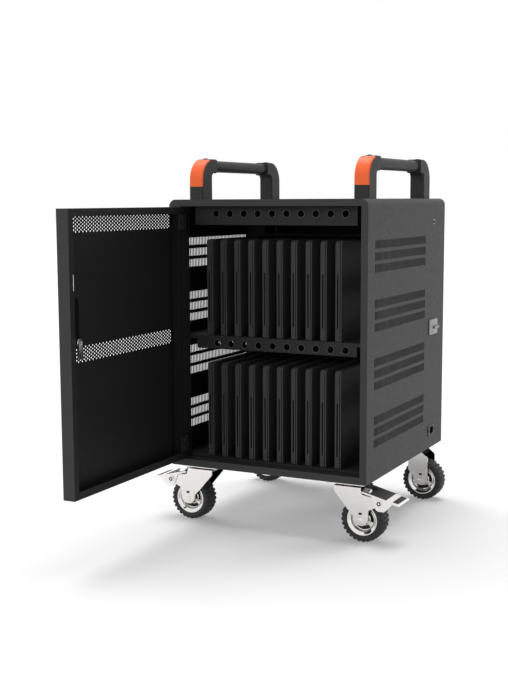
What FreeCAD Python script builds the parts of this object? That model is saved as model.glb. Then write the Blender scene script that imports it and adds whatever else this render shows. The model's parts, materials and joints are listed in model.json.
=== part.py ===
import FreeCAD, Part

import math
import os
from types import SimpleNamespace

from FreeCAD import Placement, Rotation, Vector

# Charging cabinet on casters, in millimetres.
# The cabinet frame has X to the right, Y to the back and Z up, with its zero on the floor under the
# middle of the steel body. The front door stands open at rest, and every sub-part is shifted along Y
# so that the origin lies under the middle of the whole part with its door open.

SIZES = {
    # Steel body
    "width": 480.0,
    "depth": 520.0,
    "body_height": 609.0,
    "underside": 137.5,
    "sheet_metal": 1.5,
    "top_bend": 16.0,
    "base_metal": 2.0,
    # Face frames round the front and rear doors
    "latch_stile": 15.5,
    "hinge_stile": 30.0,
    "top_rail": 15.0,
    "bottom_rail": 16.0,
    "frame_return": 30.0,
    "post_depth": 38.0,
    "post_bend": 4.0,
    # Doors
    "door_thickness": 27.5,
    "door_gap": 1.5,
    "hinge_gap": 3.0,
    "door_flange": 15.5,
    # Goose-neck hinges inside the hinge posts
    "pivot_offset": 14.5,
    "pivot_inset": 10.8,
    "hinge_margin": 35.0,
    "arm_height": 36.0,
    "arm_metal": 3.0,
    "knuckle_radius": 6.0,
    "hinge_pin_radius": 3.0,
    "lug_metal": 3.0,
    "bracket_metal": 2.0,
    "bracket_width": 21.0,
    "bracket_edge": 13.8,
    "pin_head": 2.0,
    "pin_head_lip": 1.5,
    "arm_bend": 2.0,
    "arm_play": 1.0,
    "running_gap": 0.06,
    "clear_gap": 0.3,
    # Perforated strips of the front door
    "strip_height": 34.0,
    "strip_edge": 16.0,
    "strip_hinge_edge": 6.0,
    "upper_strip_drop": 31.5,
    "strip_spacing": 259.5,
    "strip_columns": 19.0,
    "strip_rows": 3.0,
    "strip_hole": 7.0,
    # Front door lock
    "lock_edge": 24.0,
    "lock_height": 470.0,
    "lock_width": 20.0,
    "lock_depth": 22.0,
    "lock_rise": 86.0,
    "cup_width": 12.0,
    "cup_rise": 58.0,
    "cup_depth": 16.0,
    "plug_radius": 7.0,
    "cam_reach": 34.0,
    "cam_width": 12.0,
    "cam_metal": 2.5,
    "cam_gap": 1.0,
    "plug_proud": 1.0,
    "corner_flat": 1.0,
    # Shelves, cable-port panels and partition
    "bay_front": 38.0,
    "bay_depth": 347.0,
    "lower_floor": 19.0,
    "upper_floor": 300.5,
    "shelf_lip": 8.0,
    "port_panel_width": 395.0,
    "port_panel_shift": 3.5,
    "upper_panel_drop": 57.0,
    "lower_panel_height": 28.5,
    "port_radius": 8.0,
    "port_pitch": 34.9,
    "port_count": 10.0,
    "upper_port_drop": 32.0,
    "lower_port_drop": 17.0,
    "cable_slot_width": 380.0,
    "cable_slot_height": 30.0,
    "cable_slot_drop": 40.0,
    # Upright dividers
    "divider_count": 10.0,
    "divider_pitch": 35.1,
    "divider_width": 15.3,
    "divider_headroom": 32.5,
    "divider_depth": 300.0,
    "divider_corner": 10.0,
    "divider_slot": 3.0,
    "divider_slot_depth": 7.0,
    "divider_slot_low": 28.0,
    "divider_slot_rise": 118.0,
    # Vent slits of the side panels
    "vent_length": 332.0,
    "vent_front": 43.0,
    "vent_low": 73.3,
    "vent_row_height": 18.4,
    "vent_row_pitch": 25.3,
    "vent_group_pitch": 126.4,
    "vent_rows": 3.0,
    "vent_groups": 4.0,
    "vent_slits": 10.0,
    "vent_slit_width": 8.0,
    # Handles
    "handle_spacing": 404.0,
    "handle_length": 408.0,
    "handle_width": 35.0,
    "handle_height": 92.0,
    "handle_post": 48.0,
    "handle_curve": 48.0,
    "handle_inner_curve": 11.0,
    "handle_arm": 70.0,
    "handle_arm_height": 32.0,
    "handle_edge": 4.0,
    "collar_radius": 18.0,
    "collar_tip": 15.0,
    "collar_length": 24.0,
    "collar_reach": 4.0,
    "bar_radius": 13.4,
    "bar_seat": 10.0,
    "inlay_low": 29.0,
    "inlay_reach": 36.0,
    "inlay_metal": 3.0,
    # Side lock of the rear door
    "side_lock_back": 14.5,
    "side_lock_low": 16.5,
    "side_lock_length": 60.0,
    "side_lock_rise": 37.0,
    "side_lock_plate": 9.0,
    "side_lock_corner": 4.0,
    "side_axis_back": 68.0,
    "side_axis_height": 435.0,
    "barrel_radius": 9.0,
    "barrel_length": 27.0,
    "knob_radius": 6.0,
    "knob_wing": 32.0,
    "knob_wing_metal": 8.0,
    "knob_reach": 12.0,
    "knob_corner": 3.0,
    "side_cam_metal": 3.0,
    "catch_metal": 2.0,
    "catch_rise": 22.0,
    "catch_lift": 13.0,
    "catch_clearance": 5.0,
    "catch_over": 1.0,
    # Power inlet and socket strips
    "inlet_back": 84.0,
    "inlet_height": 181.0,
    "inlet_length": 52.0,
    "inlet_rise": 27.0,
    "inlet_plate": 3.0,
    "inlet_corner": 5.0,
    "inlet_body_length": 28.0,
    "inlet_body_rise": 20.0,
    "inlet_body_depth": 24.0,
    "inlet_wall": 2.0,
    "inlet_recess": 17.0,
    "blade_metal": 2.0,
    "blade_rise": 4.0,
    "blade_spacing": 7.0,
    "blade_lift": 2.0,
    "strip_socket_count": 10.0,
    "socket_strip_length": 380.0,
    "socket_strip_depth": 40.0,
    "socket_strip_rise": 45.0,
    "socket_opening": 26.0,
    "socket_recess": 2.0,
    "socket_strip_drop": 150.0,
    "security_slot_length": 9.0,
    "security_slot_rise": 4.0,
    "security_slot_back": 84.5,
    "security_slot_drop": 55.5,
    # Casters
    "swivel_spacing_x": 362.0,
    "swivel_spacing_y": 404.0,
    "trail": 35.0,
    "wheel_radius": 50.0,
    "tyre_width": 45.0,
    "rim_radius": 35.0,
    "rim_width": 41.0,
    "rim_wall": 10.0,
    "rim_lip": 3.0,
    "rim_dish": 4.5,
    "web_metal": 6.0,
    "hub_radius": 14.0,
    "hub_width": 47.0,
    "rim_windows": 3.0,
    "rim_spoke": 12.0,
    "window_margin": 1.5,
    "bead_width": 3.0,
    "bead_height": 4.0,
    "tyre_shoulder": 6.0,
    "lug_count": 16.0,
    "lug_gap": 5.5,
    "lug_depth": 3.0,
    "axle_radius": 6.0,
    "axle_head_radius": 8.5,
    "axle_head": 3.0,
    "fork_metal": 3.0,
    "fork_gap": 53.2,
    "fork_tail": 28.0,
    "fork_lip": 11.0,
    "fork_bend": 8.0,
    "leg_reach": 32.0,
    "leg_low": 26.0,
    "ear_radius": 18.0,
    "ear_drop": 10.0,
    "neck_rise": 12.0,
    "shoulder_drop": 14.5,
    "shoulder_reach": 3.0,
    "crown_height": 124.0,
    "crown_metal": 4.0,
    "caster_plate_length": 95.0,
    "caster_plate_width": 80.0,
    "caster_plate_metal": 3.5,
    "caster_plate_corner": 8.0,
    "raceway_radius": 29.0,
    "raceway_height": 6.0,
    "dish_radius": 24.0,
    "kingpin_radius": 6.0,
    "kingpin_nut": 5.0,
    "kingpin_nut_radius": 9.6,
    # Brake pedals of the front casters
    "pedal_pivot_x": 79.0,
    "pedal_pivot_z": 94.6,
    "pedal_pivot_radius": 5.0,
    "pivot_wall": 2.0,
    "stud_head": 2.0,
    "stud_head_lip": 2.5,
    "pedal_arm_metal": 2.5,
    "pedal_metal": 4.0,
    "pedal_edge": 1.5,
    "pedal_start": 39.0,
    "pedal_end": 125.0,
    "pedal_start_height": 115.75,
    "pedal_end_height": 94.25,
    "arm_start": 60.0,
    "arm_end": 111.0,
    "arm_drop": 17.5,
    "arm_left": 6.0,
    "arm_right": 12.0,
    "arm_curve": 8.0,
}

# The front door is drawn shut and stands open by this many degrees at rest.
DOOR_AT_REST = 90.0

# Points closer than this count as one.
TOUCHING = 1e-6

doc = FreeCAD.newDocument("charging_cabinet")
sheet = doc.addObject("Spreadsheet::Sheet", "Sizes")
for row, (alias, number) in enumerate(SIZES.items(), start=1):
    sheet.set("A%d" % row, alias.replace("_", " "))
    sheet.set("B%d" % row, str(number))
    sheet.setAlias("B%d" % row, alias)
doc.recompute()
d = SimpleNamespace(**{alias: float(sheet.get(alias)) for alias in SIZES})

# Planes of the body, the door opening and the shut door in the cabinet frame
left = -d.width / 2
right = d.width / 2
front = -d.depth / 2
back = d.depth / 2
low = d.underside
high = d.underside + d.body_height
metal = d.sheet_metal
open_left = left + d.hinge_stile
open_right = right - d.latch_stile
open_low = low + d.bottom_rail
open_high = high - d.top_rail
door_left = open_left + d.hinge_gap
door_right = open_right - d.door_gap
door_low = open_low + d.door_gap
door_high = open_high - d.door_gap
door_inner = front + d.door_thickness
bay_front = front + d.bay_front
bay_back = bay_front + d.bay_depth
lower_floor = low + d.lower_floor
upper_floor = low + d.upper_floor
lower_bay_top = upper_floor - metal - d.lower_panel_height
upper_bay_top = high - d.upper_panel_drop
pivot = Vector(door_left - d.pivot_offset, front + d.pivot_inset, 0)

# With the door square to the front, its free edge is the foremost point of the part.
shift = Vector(0, -(pivot.y - (door_right - pivot.x) + back) / 2, 0)
CABINET = Placement(shift, Rotation())
DOOR = CABINET.multiply(Placement(Vector(), Rotation(Vector(0, 0, 1), -DOOR_AT_REST), pivot))

nodes = {}


def node(obj, label, place=CABINET):
    """Name a sub-part and put it in its place in the part's own frame."""
    obj.Label = label
    obj.Placement = place.multiply(obj.Placement)
    nodes[label] = obj
    return obj


def bind(obj, **formulas):
    for name, formula in formulas.items():
        obj.setExpression(name, formula)
    return obj


def box(name, corner, length, width, height):
    """Block from its lowest corner, its three sizes given as formulas on the sheet."""
    obj = doc.addObject("Part::Box", name)
    obj.Placement.Base = Vector(*corner)
    return bind(obj, Length=length, Width=width, Height=height)


def cylinder(name, centre, axis, radius, height):
    """Cylinder from the middle of its first end along axis, its sizes given as formulas."""
    obj = doc.addObject("Part::Cylinder", name)
    obj.Placement = Placement(Vector(*centre), Rotation(Vector(0, 0, 1), Vector(*axis)))
    return bind(obj, Radius=radius, Height=height)


def cone(name, centre, axis, first_radius, last_radius, height):
    """Cone from the middle of its first end along axis, its sizes given as formulas."""
    obj = doc.addObject("Part::Cone", name)
    obj.Placement = Placement(Vector(*centre), Rotation(Vector(0, 0, 1), Vector(*axis)))
    return bind(obj, Radius1=first_radius, Radius2=last_radius, Height=height)


def rounded(points):
    """Edges of a closed outline; a point may carry the radius of its rounded corner."""
    corners = []
    for index, (a, b, *radius) in enumerate(points):
        here = Vector(a, b, 0)
        before = Vector(*points[index - 1][:2], 0)
        after = Vector(*points[(index + 1) % len(points)][:2], 0)
        to_before = (before - here).normalize()
        to_after = (after - here).normalize()
        if not radius:
            corners.append((here, None, here))
            continue
        half_angle = to_before.getAngle(to_after) / 2
        reach = radius[0] / math.tan(half_angle)
        inward = (to_before + to_after).normalize()
        middle = here + inward * (radius[0] / math.sin(half_angle) - radius[0])
        corners.append((here + to_before * reach, middle, here + to_after * reach))
    edges = []
    for index, (start, middle, end) in enumerate(corners):
        if middle:
            edges.append(Part.Arc(start, middle, end))
        following = corners[(index + 1) % len(corners)][0]
        if (following - end).Length > TOUCHING:
            edges.append(Part.LineSegment(end, following))
    return edges


def rectangle(a_low, b_low, a_high, b_high):
    return rounded([(a_low, b_low), (a_high, b_low), (a_high, b_high), (a_low, b_high)])


def circle(a, b, radius):
    return [Part.Circle(Vector(a, b, 0), Vector(0, 0, 1), radius)]


def sketched(name, plane, loops):
    """Body with one sketch of closed loops on an origin plane."""
    body = doc.addObject("PartDesign::Body", name)
    sketch = body.newObject("Sketcher::SketchObject", name + "_profile")
    support = next(item for item in body.Origin.OriginFeatures if item.Role == plane)
    sketch.AttachmentSupport = [(support, "")]
    sketch.MapMode = "FlatFace"
    for loop in loops:
        sketch.addGeometry(loop, False)
    return body, sketch


def padded(name, plane, loops, length, corner=(0, 0, 0)):
    """Profile padded along X from the YZ plane, along Z from XY, and towards -Y from XZ."""
    body, sketch = sketched(name, plane, loops)
    pad = body.newObject("PartDesign::Pad", name + "_pad")
    pad.Profile = sketch
    bind(pad, Length=length)
    body.Placement.Base = Vector(*corner)
    return body


def turned(name, points, place):
    """Profile of (radius, height) points turned round Z."""
    body, sketch = sketched(name, "XZ_Plane", [rounded(points)])
    turn = body.newObject("PartDesign::Revolution", name + "_turn")
    turn.Profile = sketch
    turn.ReferenceAxis = (sketch, ["V_Axis"])
    turn.Angle = 360.0
    body.Placement = place
    return body


def fused(name, *solids):
    obj = doc.addObject("Part::MultiFuse", name)
    obj.Shapes = list(solids)
    obj.Refine = True
    return obj


def cut(name, base, *tools):
    obj = doc.addObject("Part::Cut", name)
    obj.Base = base
    obj.Tool = tools[0] if len(tools) == 1 else fused(name + "_tools", *tools)
    obj.Refine = True
    return obj


def shared(name, base, tool):
    obj = doc.addObject("Part::Common", name)
    obj.Base = base
    obj.Tool = tool
    return obj


def shaped(name, shape):
    obj = doc.addObject("Part::Feature", name)
    obj.Shape = shape
    return obj


def repeated(name, source, places):
    """Separate copies of one solid, as one sub-part."""
    doc.recompute()
    solids = [source.Shape.copy() for _ in places]
    for solid, place in zip(solids, places):
        solid.Placement = place.multiply(solid.Placement)
    return shaped(name, Part.makeCompound(solids))


def mirrored(name, source):
    """Rear twin of a front piece that is drawn in the cabinet frame."""
    obj = doc.addObject("Part::Mirroring", name)
    obj.Source = source
    obj.Normal = Vector(0, 1, 0)
    obj.Base = (shift + source.Placement.Base) / 2
    nodes[name] = obj
    return obj


def pierced(name, outline, holes, thickness):
    """Flat sheet in the XY plane with many like holes, too many for one sketch."""
    wires = [Part.Wire([edge.toShape() for edge in loop]) for loop in [outline] + holes]
    face = Part.makeFace(wires, "Part::FaceMakerBullseye")
    return shaped(name, face.extrude(Vector(0, 0, thickness)))


def spread(count, pitch):
    """Places of a row with its middle at zero."""
    return [(index - (count - 1) / 2) * pitch for index in range(int(count))]


# Side panels: flat sheets between the front and back frames, with groups of rows of slits.
# A panel is drawn flat with its depth along X and its height along Y, then stood up.
def vent_slits():
    slits = []
    pitch = (d.vent_length - d.vent_slit_width) / (d.vent_slits - 1)
    for group in range(int(d.vent_groups)):
        for line in range(int(d.vent_rows)):
            bottom = low + d.vent_low + group * d.vent_group_pitch + line * d.vent_row_pitch
            for slit in range(int(d.vent_slits)):
                start = front + d.vent_front + slit * pitch
                top = bottom + d.vent_row_height
                slits.append(rectangle(start, bottom, start + d.vent_slit_width, top))
    return slits


STOOD_UP = Rotation(Vector(0, 1, 0), Vector(0, 0, 1), Vector(1, 0, 0), "ZXY")
panel_outline = rectangle(front + metal, low, back - metal, high - d.top_bend)
side_axis_y = back - d.side_axis_back
inlet_y = back - d.inlet_back
slot_y = back - d.security_slot_back
slot_z = high - d.security_slot_drop
side_holes = [
    circle(side_axis_y, d.side_axis_height, d.barrel_radius + d.clear_gap),
    rectangle(
        inlet_y - d.inlet_body_length / 2 - d.clear_gap,
        d.inlet_height - d.inlet_body_rise / 2 - d.clear_gap,
        inlet_y + d.inlet_body_length / 2 + d.clear_gap,
        d.inlet_height + d.inlet_body_rise / 2 + d.clear_gap,
    ),
    rectangle(
        slot_y - d.security_slot_length / 2,
        slot_z - d.security_slot_rise / 2,
        slot_y + d.security_slot_length / 2,
        slot_z + d.security_slot_rise / 2,
    ),
]
for label, edge, holes in (
    ("left_side_panel", left, []),
    ("right_side_panel", right - metal, side_holes),
):
    panel = pierced(label, panel_outline, vent_slits() + holes, metal)
    panel.Placement = Placement(Vector(edge, 0, 0), STOOD_UP)
    node(panel, label)

# Top cover: one sheet with both long edges bent down to the side panels.
cover_profile = rounded([
    (left, high - d.top_bend),
    (left, high, d.top_bend),
    (right, high, d.top_bend),
    (right, high - d.top_bend),
    (right - metal, high - d.top_bend),
    (right - metal, high - metal, d.top_bend - metal),
    (left + metal, high - metal, d.top_bend - metal),
    (left + metal, high - d.top_bend),
])
cover_length = "Sizes.depth - 2 * Sizes.sheet_metal"
cover = padded("top_cover", "XZ_Plane", [cover_profile], cover_length, (0, back - metal, 0))
node(cover, "top_cover")

# Base plate under the whole body, between the side panels and the frames
base = box(
    "base_plate",
    (left + metal, front + metal, low),
    "Sizes.width - 2 * Sizes.sheet_metal",
    "Sizes.depth - 2 * Sizes.sheet_metal",
    "Sizes.base_metal",
)
node(base, "base_plate")


# Face frame: a face sheet with returns round the opening and a boxed post on the hinge side. The
# post's return is slotted where the hinge arms swing through it.
def face_frame():
    face = padded(
        "frame_face",
        "XZ_Plane",
        [
            rounded([(left, low), (right, low), (right, high, d.top_bend), (left, high, d.top_bend)]),
            rectangle(open_left - d.post_bend, open_low, open_right, open_high),
        ],
        "Sizes.sheet_metal",
        (0, front + metal, 0),
    )
    post_back = front + d.post_depth
    post = padded(
        "frame_post",
        "XY_Plane",
        [rounded([
            (open_left - d.post_bend, front),
            (open_left, front, d.post_bend),
            (open_left, post_back),
            (left + metal, post_back),
            (left + metal, post_back - metal),
            (open_left - metal, post_back - metal),
            (open_left - metal, front + metal, d.post_bend - metal),
            (open_left - d.post_bend, front + metal),
        ])],
        "Sizes.body_height - Sizes.top_rail - Sizes.bottom_rail",
        (0, 0, open_low),
    )
    latch_return = box(
        "latch_return",
        (open_right, front + metal, open_low - metal),
        "Sizes.sheet_metal",
        "Sizes.frame_return - Sizes.sheet_metal",
        "Sizes.body_height - Sizes.top_rail - Sizes.bottom_rail + 2 * Sizes.sheet_metal",
    )
    rail_length = "Sizes.width - Sizes.hinge_stile - Sizes.latch_stile + Sizes.sheet_metal"
    rails = [
        box(
            name,
            (open_left - metal, front + metal, height),
            rail_length,
            "Sizes.frame_return - Sizes.sheet_metal",
            "Sizes.sheet_metal",
        )
        for name, height in (("top_return", open_high), ("bottom_return", open_low - metal))
    ]
    arm_depth = "Sizes.knuckle_radius + Sizes.door_thickness - Sizes.pivot_inset + Sizes.arm_metal"
    slots = [
        box(
            "arm_slot",
            (open_left - 2 * metal, pivot.y - d.knuckle_radius, height - d.arm_height / 2 - d.arm_play),
            "3 * Sizes.sheet_metal",
            arm_depth + " + 2 * Sizes.arm_play",
            "Sizes.arm_height + 2 * Sizes.arm_play",
        )
        for height in hinge_heights
    ]
    return cut("front_frame", fused("frame_sheets", face, post, latch_return, *rails), *slots)


hinge_heights = (door_low + d.hinge_margin, door_high - d.hinge_margin)
front_frame = node(face_frame(), "front_frame")
mirrored("back_frame", front_frame)


# Hinges: a bracket with two lugs welded in the post, a headed pin, and an arm on the door's flange.
def hinge_bracket():
    seat = metal - d.pivot_inset
    lug_low = d.arm_height / 2 + d.clear_gap
    lug_high = lug_low + d.lug_metal
    reach = d.knuckle_radius + d.arm_play
    inside = seat + d.bracket_metal
    profile = rounded([
        (seat, -lug_high),
        (reach, -lug_high),
        (reach, -lug_low),
        (inside, -lug_low),
        (inside, lug_low),
        (reach, lug_low),
        (reach, lug_high),
        (seat, lug_high),
    ])
    bracket = padded(
        "bracket_sheet",
        "YZ_Plane",
        [profile],
        "Sizes.bracket_width",
        (-d.bracket_edge, 0, 0),
    )
    bore = cylinder(
        "bracket_bore",
        (0, 0, -2 * lug_high),
        (0, 0, 1),
        "Sizes.hinge_pin_radius + Sizes.running_gap",
        "4 * (Sizes.arm_height / 2 + Sizes.clear_gap + Sizes.lug_metal)",
    )
    return cut("hinge_bracket", bracket, bore)


def hinge_pin():
    lug_high = d.arm_height / 2 + d.clear_gap + d.lug_metal
    head = d.hinge_pin_radius + d.pin_head_lip
    tail = lug_high + d.arm_play
    profile = [
        (0, -tail),
        (d.hinge_pin_radius, -tail),
        (d.hinge_pin_radius, lug_high),
        (head, lug_high),
        (head, lug_high + d.pin_head),
        (0, lug_high + d.pin_head),
    ]
    return turned("hinge_pin", profile, Placement())


def hinge_arm():
    seat = d.door_thickness - d.pivot_inset
    half_neck = d.arm_metal
    leaf_end = d.pivot_offset + d.door_flange - d.arm_play
    neck = padded(
        "arm_neck",
        "XY_Plane",
        [rounded([
            (-half_neck, 0),
            (half_neck, 0),
            (half_neck, seat, d.arm_bend),
            (leaf_end, seat),
            (leaf_end, seat + d.arm_metal),
            (-half_neck, seat + d.arm_metal, d.arm_metal + d.arm_bend),
        ])],
        "Sizes.arm_height",
        (0, 0, -d.arm_height / 2),
    )
    knuckle = cylinder(
        "arm_knuckle",
        (0, 0, -d.arm_height / 2),
        (0, 0, 1),
        "Sizes.knuckle_radius",
        "Sizes.arm_height",
    )
    bore = cylinder(
        "arm_bore",
        (0, 0, -d.arm_height),
        (0, 0, 1),
        "Sizes.hinge_pin_radius + Sizes.running_gap",
        "2 * Sizes.arm_height",
    )
    return cut("hinge_arm", fused("arm_metal_parts", neck, knuckle), bore)


hinge_places = [Placement(pivot + Vector(0, 0, height), Rotation()) for height in hinge_heights]
for suffix, source, place in (
    ("hinge_brackets", hinge_bracket(), CABINET),
    ("hinge_pins", hinge_pin(), CABINET),
    ("hinge_arms", hinge_arm(), DOOR),
):
    mirrored("rear_" + suffix, repeated("shut_" + suffix, source, hinge_places))
    node(repeated("door_" + suffix, source, hinge_places), "door_" + suffix, place)


# Doors: a folded tray, open inside within a flange; the front one has windows for the strips and lock.
DOOR_LENGTH = "Sizes.width - Sizes.hinge_stile - Sizes.latch_stile - Sizes.hinge_gap - Sizes.door_gap"


def door_tray():
    height = "Sizes.body_height - Sizes.top_rail - Sizes.bottom_rail - 2 * Sizes.door_gap"
    block = box("door_block", (door_left, front, door_low), DOOR_LENGTH, "Sizes.door_thickness", height)
    cavity = box(
        "door_cavity",
        (door_left + metal, front + metal, door_low + metal),
        DOOR_LENGTH + " - 2 * Sizes.sheet_metal",
        "Sizes.door_thickness - 2 * Sizes.sheet_metal",
        height + " - 2 * Sizes.sheet_metal",
    )
    mouth = box(
        "door_mouth",
        (door_left + d.door_flange, door_inner - 2 * metal, door_low + d.door_flange),
        DOOR_LENGTH + " - 2 * Sizes.door_flange",
        "3 * Sizes.sheet_metal",
        height + " - 2 * Sizes.door_flange",
    )
    return cut("door_tray", block, cavity, mouth)


strip_left = door_left + d.strip_hinge_edge
strip_length = door_right - d.strip_edge - strip_left
upper_strip_low = door_high - d.upper_strip_drop - d.strip_height / 2
strip_places = {"door_vent_upper": upper_strip_low, "door_vent_lower": upper_strip_low - d.strip_spacing}
lock_x = door_right - d.lock_edge
cup_low = d.lock_height + d.plug_radius + (d.lock_rise - d.plug_radius - d.cup_rise) / 2


def door_windows():
    windows = [
        box(
            "strip_window",
            (strip_left, front - metal, height),
            DOOR_LENGTH + " - Sizes.strip_edge - Sizes.strip_hinge_edge",
            "3 * Sizes.sheet_metal",
            "Sizes.strip_height",
        )
        for height in strip_places.values()
    ]
    cup = box(
        "cup_window",
        (lock_x - d.cup_width / 2, front - metal, cup_low),
        "Sizes.cup_width",
        "3 * Sizes.sheet_metal",
        "Sizes.cup_rise",
    )
    plug = cylinder(
        "plug_window",
        (lock_x, front - metal, d.lock_height),
        (0, 1, 0),
        "Sizes.plug_radius + Sizes.clear_gap",
        "3 * Sizes.sheet_metal",
    )
    return windows + [cup, plug]


tray = door_tray()
node(cut("front_door_panel", tray, *door_windows()), "front_door_panel", DOOR)
mirrored("rear_door_panel", tray)


# Perforated strips: staggered diamond holes, flush in the door's skin
def strip_holes():
    holes = []
    column_pitch = strip_length / d.strip_columns
    row_pitch = d.strip_height / d.strip_rows
    half = d.strip_hole / 2
    for row in range(int(d.strip_rows)):
        stagger = 0.25 if row % 2 else 0.75
        for column in range(int(d.strip_columns)):
            a = (column + stagger) * column_pitch
            b = (row + 0.5) * row_pitch
            holes.append(rounded([(a - half, b), (a, b - half), (a + half, b), (a, b + half)]))
    return holes


for label, height in strip_places.items():
    strip = pierced(label, rectangle(0, 0, strip_length, d.strip_height), strip_holes(), metal)
    strip.Placement = Placement(Vector(strip_left, front + metal, height), Rotation(Vector(1, 0, 0), 90))
    node(strip, label, DOOR)

# Front door lock: a housing with a finger cup open to the outside, and the plug with its cam. The cam
# hangs down when the lock is open and turns out behind the latch return.
half_lock = d.lock_width / 2
lock_corner = half_lock - d.corner_flat
housing_back = front + metal + d.lock_depth
lock_block = padded(
    "lock_block",
    "XZ_Plane",
    [
        rounded([
            (lock_x - half_lock, d.lock_height - half_lock, lock_corner),
            (lock_x + half_lock, d.lock_height - half_lock, lock_corner),
            (lock_x + half_lock, d.lock_height + d.lock_rise, lock_corner),
            (lock_x - half_lock, d.lock_height + d.lock_rise, lock_corner),
        ]),
        circle(lock_x, d.lock_height, d.plug_radius + d.running_gap),
    ],
    "Sizes.lock_depth",
    (0, housing_back, 0),
)
finger_cup = box(
    "finger_cup",
    (lock_x - d.cup_width / 2, front, cup_low),
    "Sizes.cup_width",
    "Sizes.cup_depth",
    "Sizes.cup_rise",
)
node(cut("door_lock_housing", lock_block, finger_cup), "door_lock_housing", DOOR)
cam_front = front + d.frame_return + d.cam_gap
half_cam = d.cam_width / 2
cam_corner = half_cam - d.corner_flat
cam_plate = padded(
    "cam_plate",
    "XZ_Plane",
    [rounded([
        (lock_x - half_cam, d.lock_height - d.cam_reach, cam_corner),
        (lock_x + half_cam, d.lock_height - d.cam_reach, cam_corner),
        (lock_x + half_cam, d.lock_height + half_cam, cam_corner),
        (lock_x - half_cam, d.lock_height + half_cam, cam_corner),
    ])],
    "Sizes.cam_metal",
    (0, cam_front + d.cam_metal, 0),
)
lock_plug = cylinder(
    "lock_plug",
    (lock_x, front - d.plug_proud, d.lock_height),
    (0, 1, 0),
    "Sizes.plug_radius",
    "Sizes.plug_proud + Sizes.frame_return + Sizes.cam_gap",
)
node(fused("door_lock_cam", cam_plate, lock_plug), "door_lock_cam", DOOR)


# Shelves: folded sheets with a front lip, seated between the side panels and on the partition
def shelf(label, top):
    profile = rounded([
        (bay_front, top),
        (bay_back, top),
        (bay_back, top - metal),
        (bay_front + metal, top - metal),
        (bay_front + metal, top - d.shelf_lip),
        (bay_front, top - d.shelf_lip),
    ])
    length = "Sizes.width - 2 * Sizes.sheet_metal"
    return node(padded(label, "YZ_Plane", [profile], length, (left + metal, 0, 0)), label)


shelf("lower_shelf", lower_floor)
shelf("upper_shelf", upper_floor)


# Cable-port panels: ten ports in a row, each half a pitch to the right of a divider
def port_panel(label, face_y, bottom, top, port_height):
    panel_left = d.port_panel_shift - d.port_panel_width / 2
    row = spread(d.port_count, d.port_pitch)
    ports = [circle(x + d.divider_pitch / 2, port_height, d.port_radius) for x in row]
    outline = rectangle(panel_left, bottom, panel_left + d.port_panel_width, top)
    body = padded(label, "XZ_Plane", [outline] + ports, "Sizes.sheet_metal", (0, face_y + metal, 0))
    return node(body, label)


port_panel("upper_port_panel", bay_front, upper_bay_top, high - metal, high - d.upper_port_drop)
port_panel(
    "lower_port_panel",
    bay_front + metal,
    lower_bay_top,
    upper_floor - metal,
    upper_floor - d.lower_port_drop,
)

# Partition between the device bays and the charger compartment, with one cable slot per bay
partition_top = high - d.top_bend
partition = padded(
    "inner_partition",
    "XZ_Plane",
    [rectangle(left + metal, low + d.base_metal, right - metal, partition_top)] + [
        rectangle(
            -d.cable_slot_width / 2,
            top - d.cable_slot_drop - d.cable_slot_height,
            d.cable_slot_width / 2,
            top - d.cable_slot_drop,
        )
        for top in (partition_top, upper_floor)
    ],
    "Sizes.sheet_metal",
    (0, bay_back + metal, 0),
)
node(partition, "inner_partition")


# Dividers: moulded upright slabs with rounded front corners and a cable slot in the front edge
def divider(label, height):
    slab = padded(
        label + "_slab",
        "YZ_Plane",
        [rounded([
            (0, 0, d.divider_corner / 2),
            (d.divider_depth, 0),
            (d.divider_depth, height),
            (0, height, d.divider_corner),
        ])],
        "Sizes.divider_width",
        (-d.divider_width / 2, 0, 0),
    )
    slot = box(
        label + "_slot",
        (-d.divider_slot, -d.divider_slot_depth, d.divider_slot_low),
        "Sizes.divider_slot",
        "2 * Sizes.divider_slot_depth",
        "Sizes.divider_slot_rise",
    )
    return cut(label, slab, slot)


for label, floor, bay_top in (
    ("lower_dividers", lower_floor, lower_bay_top),
    ("upper_dividers", upper_floor, upper_bay_top),
):
    one_divider = divider("one_of_" + label, bay_top - d.divider_headroom - floor)
    row = spread(d.divider_count, d.divider_pitch)
    places = [Placement(Vector(x, bay_front, floor), Rotation()) for x in row]
    node(repeated(label, one_divider, places), label)


# Handles: two moulded posts with a round grip bar seated in their flared collars; the front post carries
# an orange inlay over its outer curve. A post is drawn with its outer face at Y zero.
collar_height = d.handle_height - d.handle_arm_height / 2
bar_start = d.handle_arm + d.collar_reach - d.bar_seat


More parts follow.
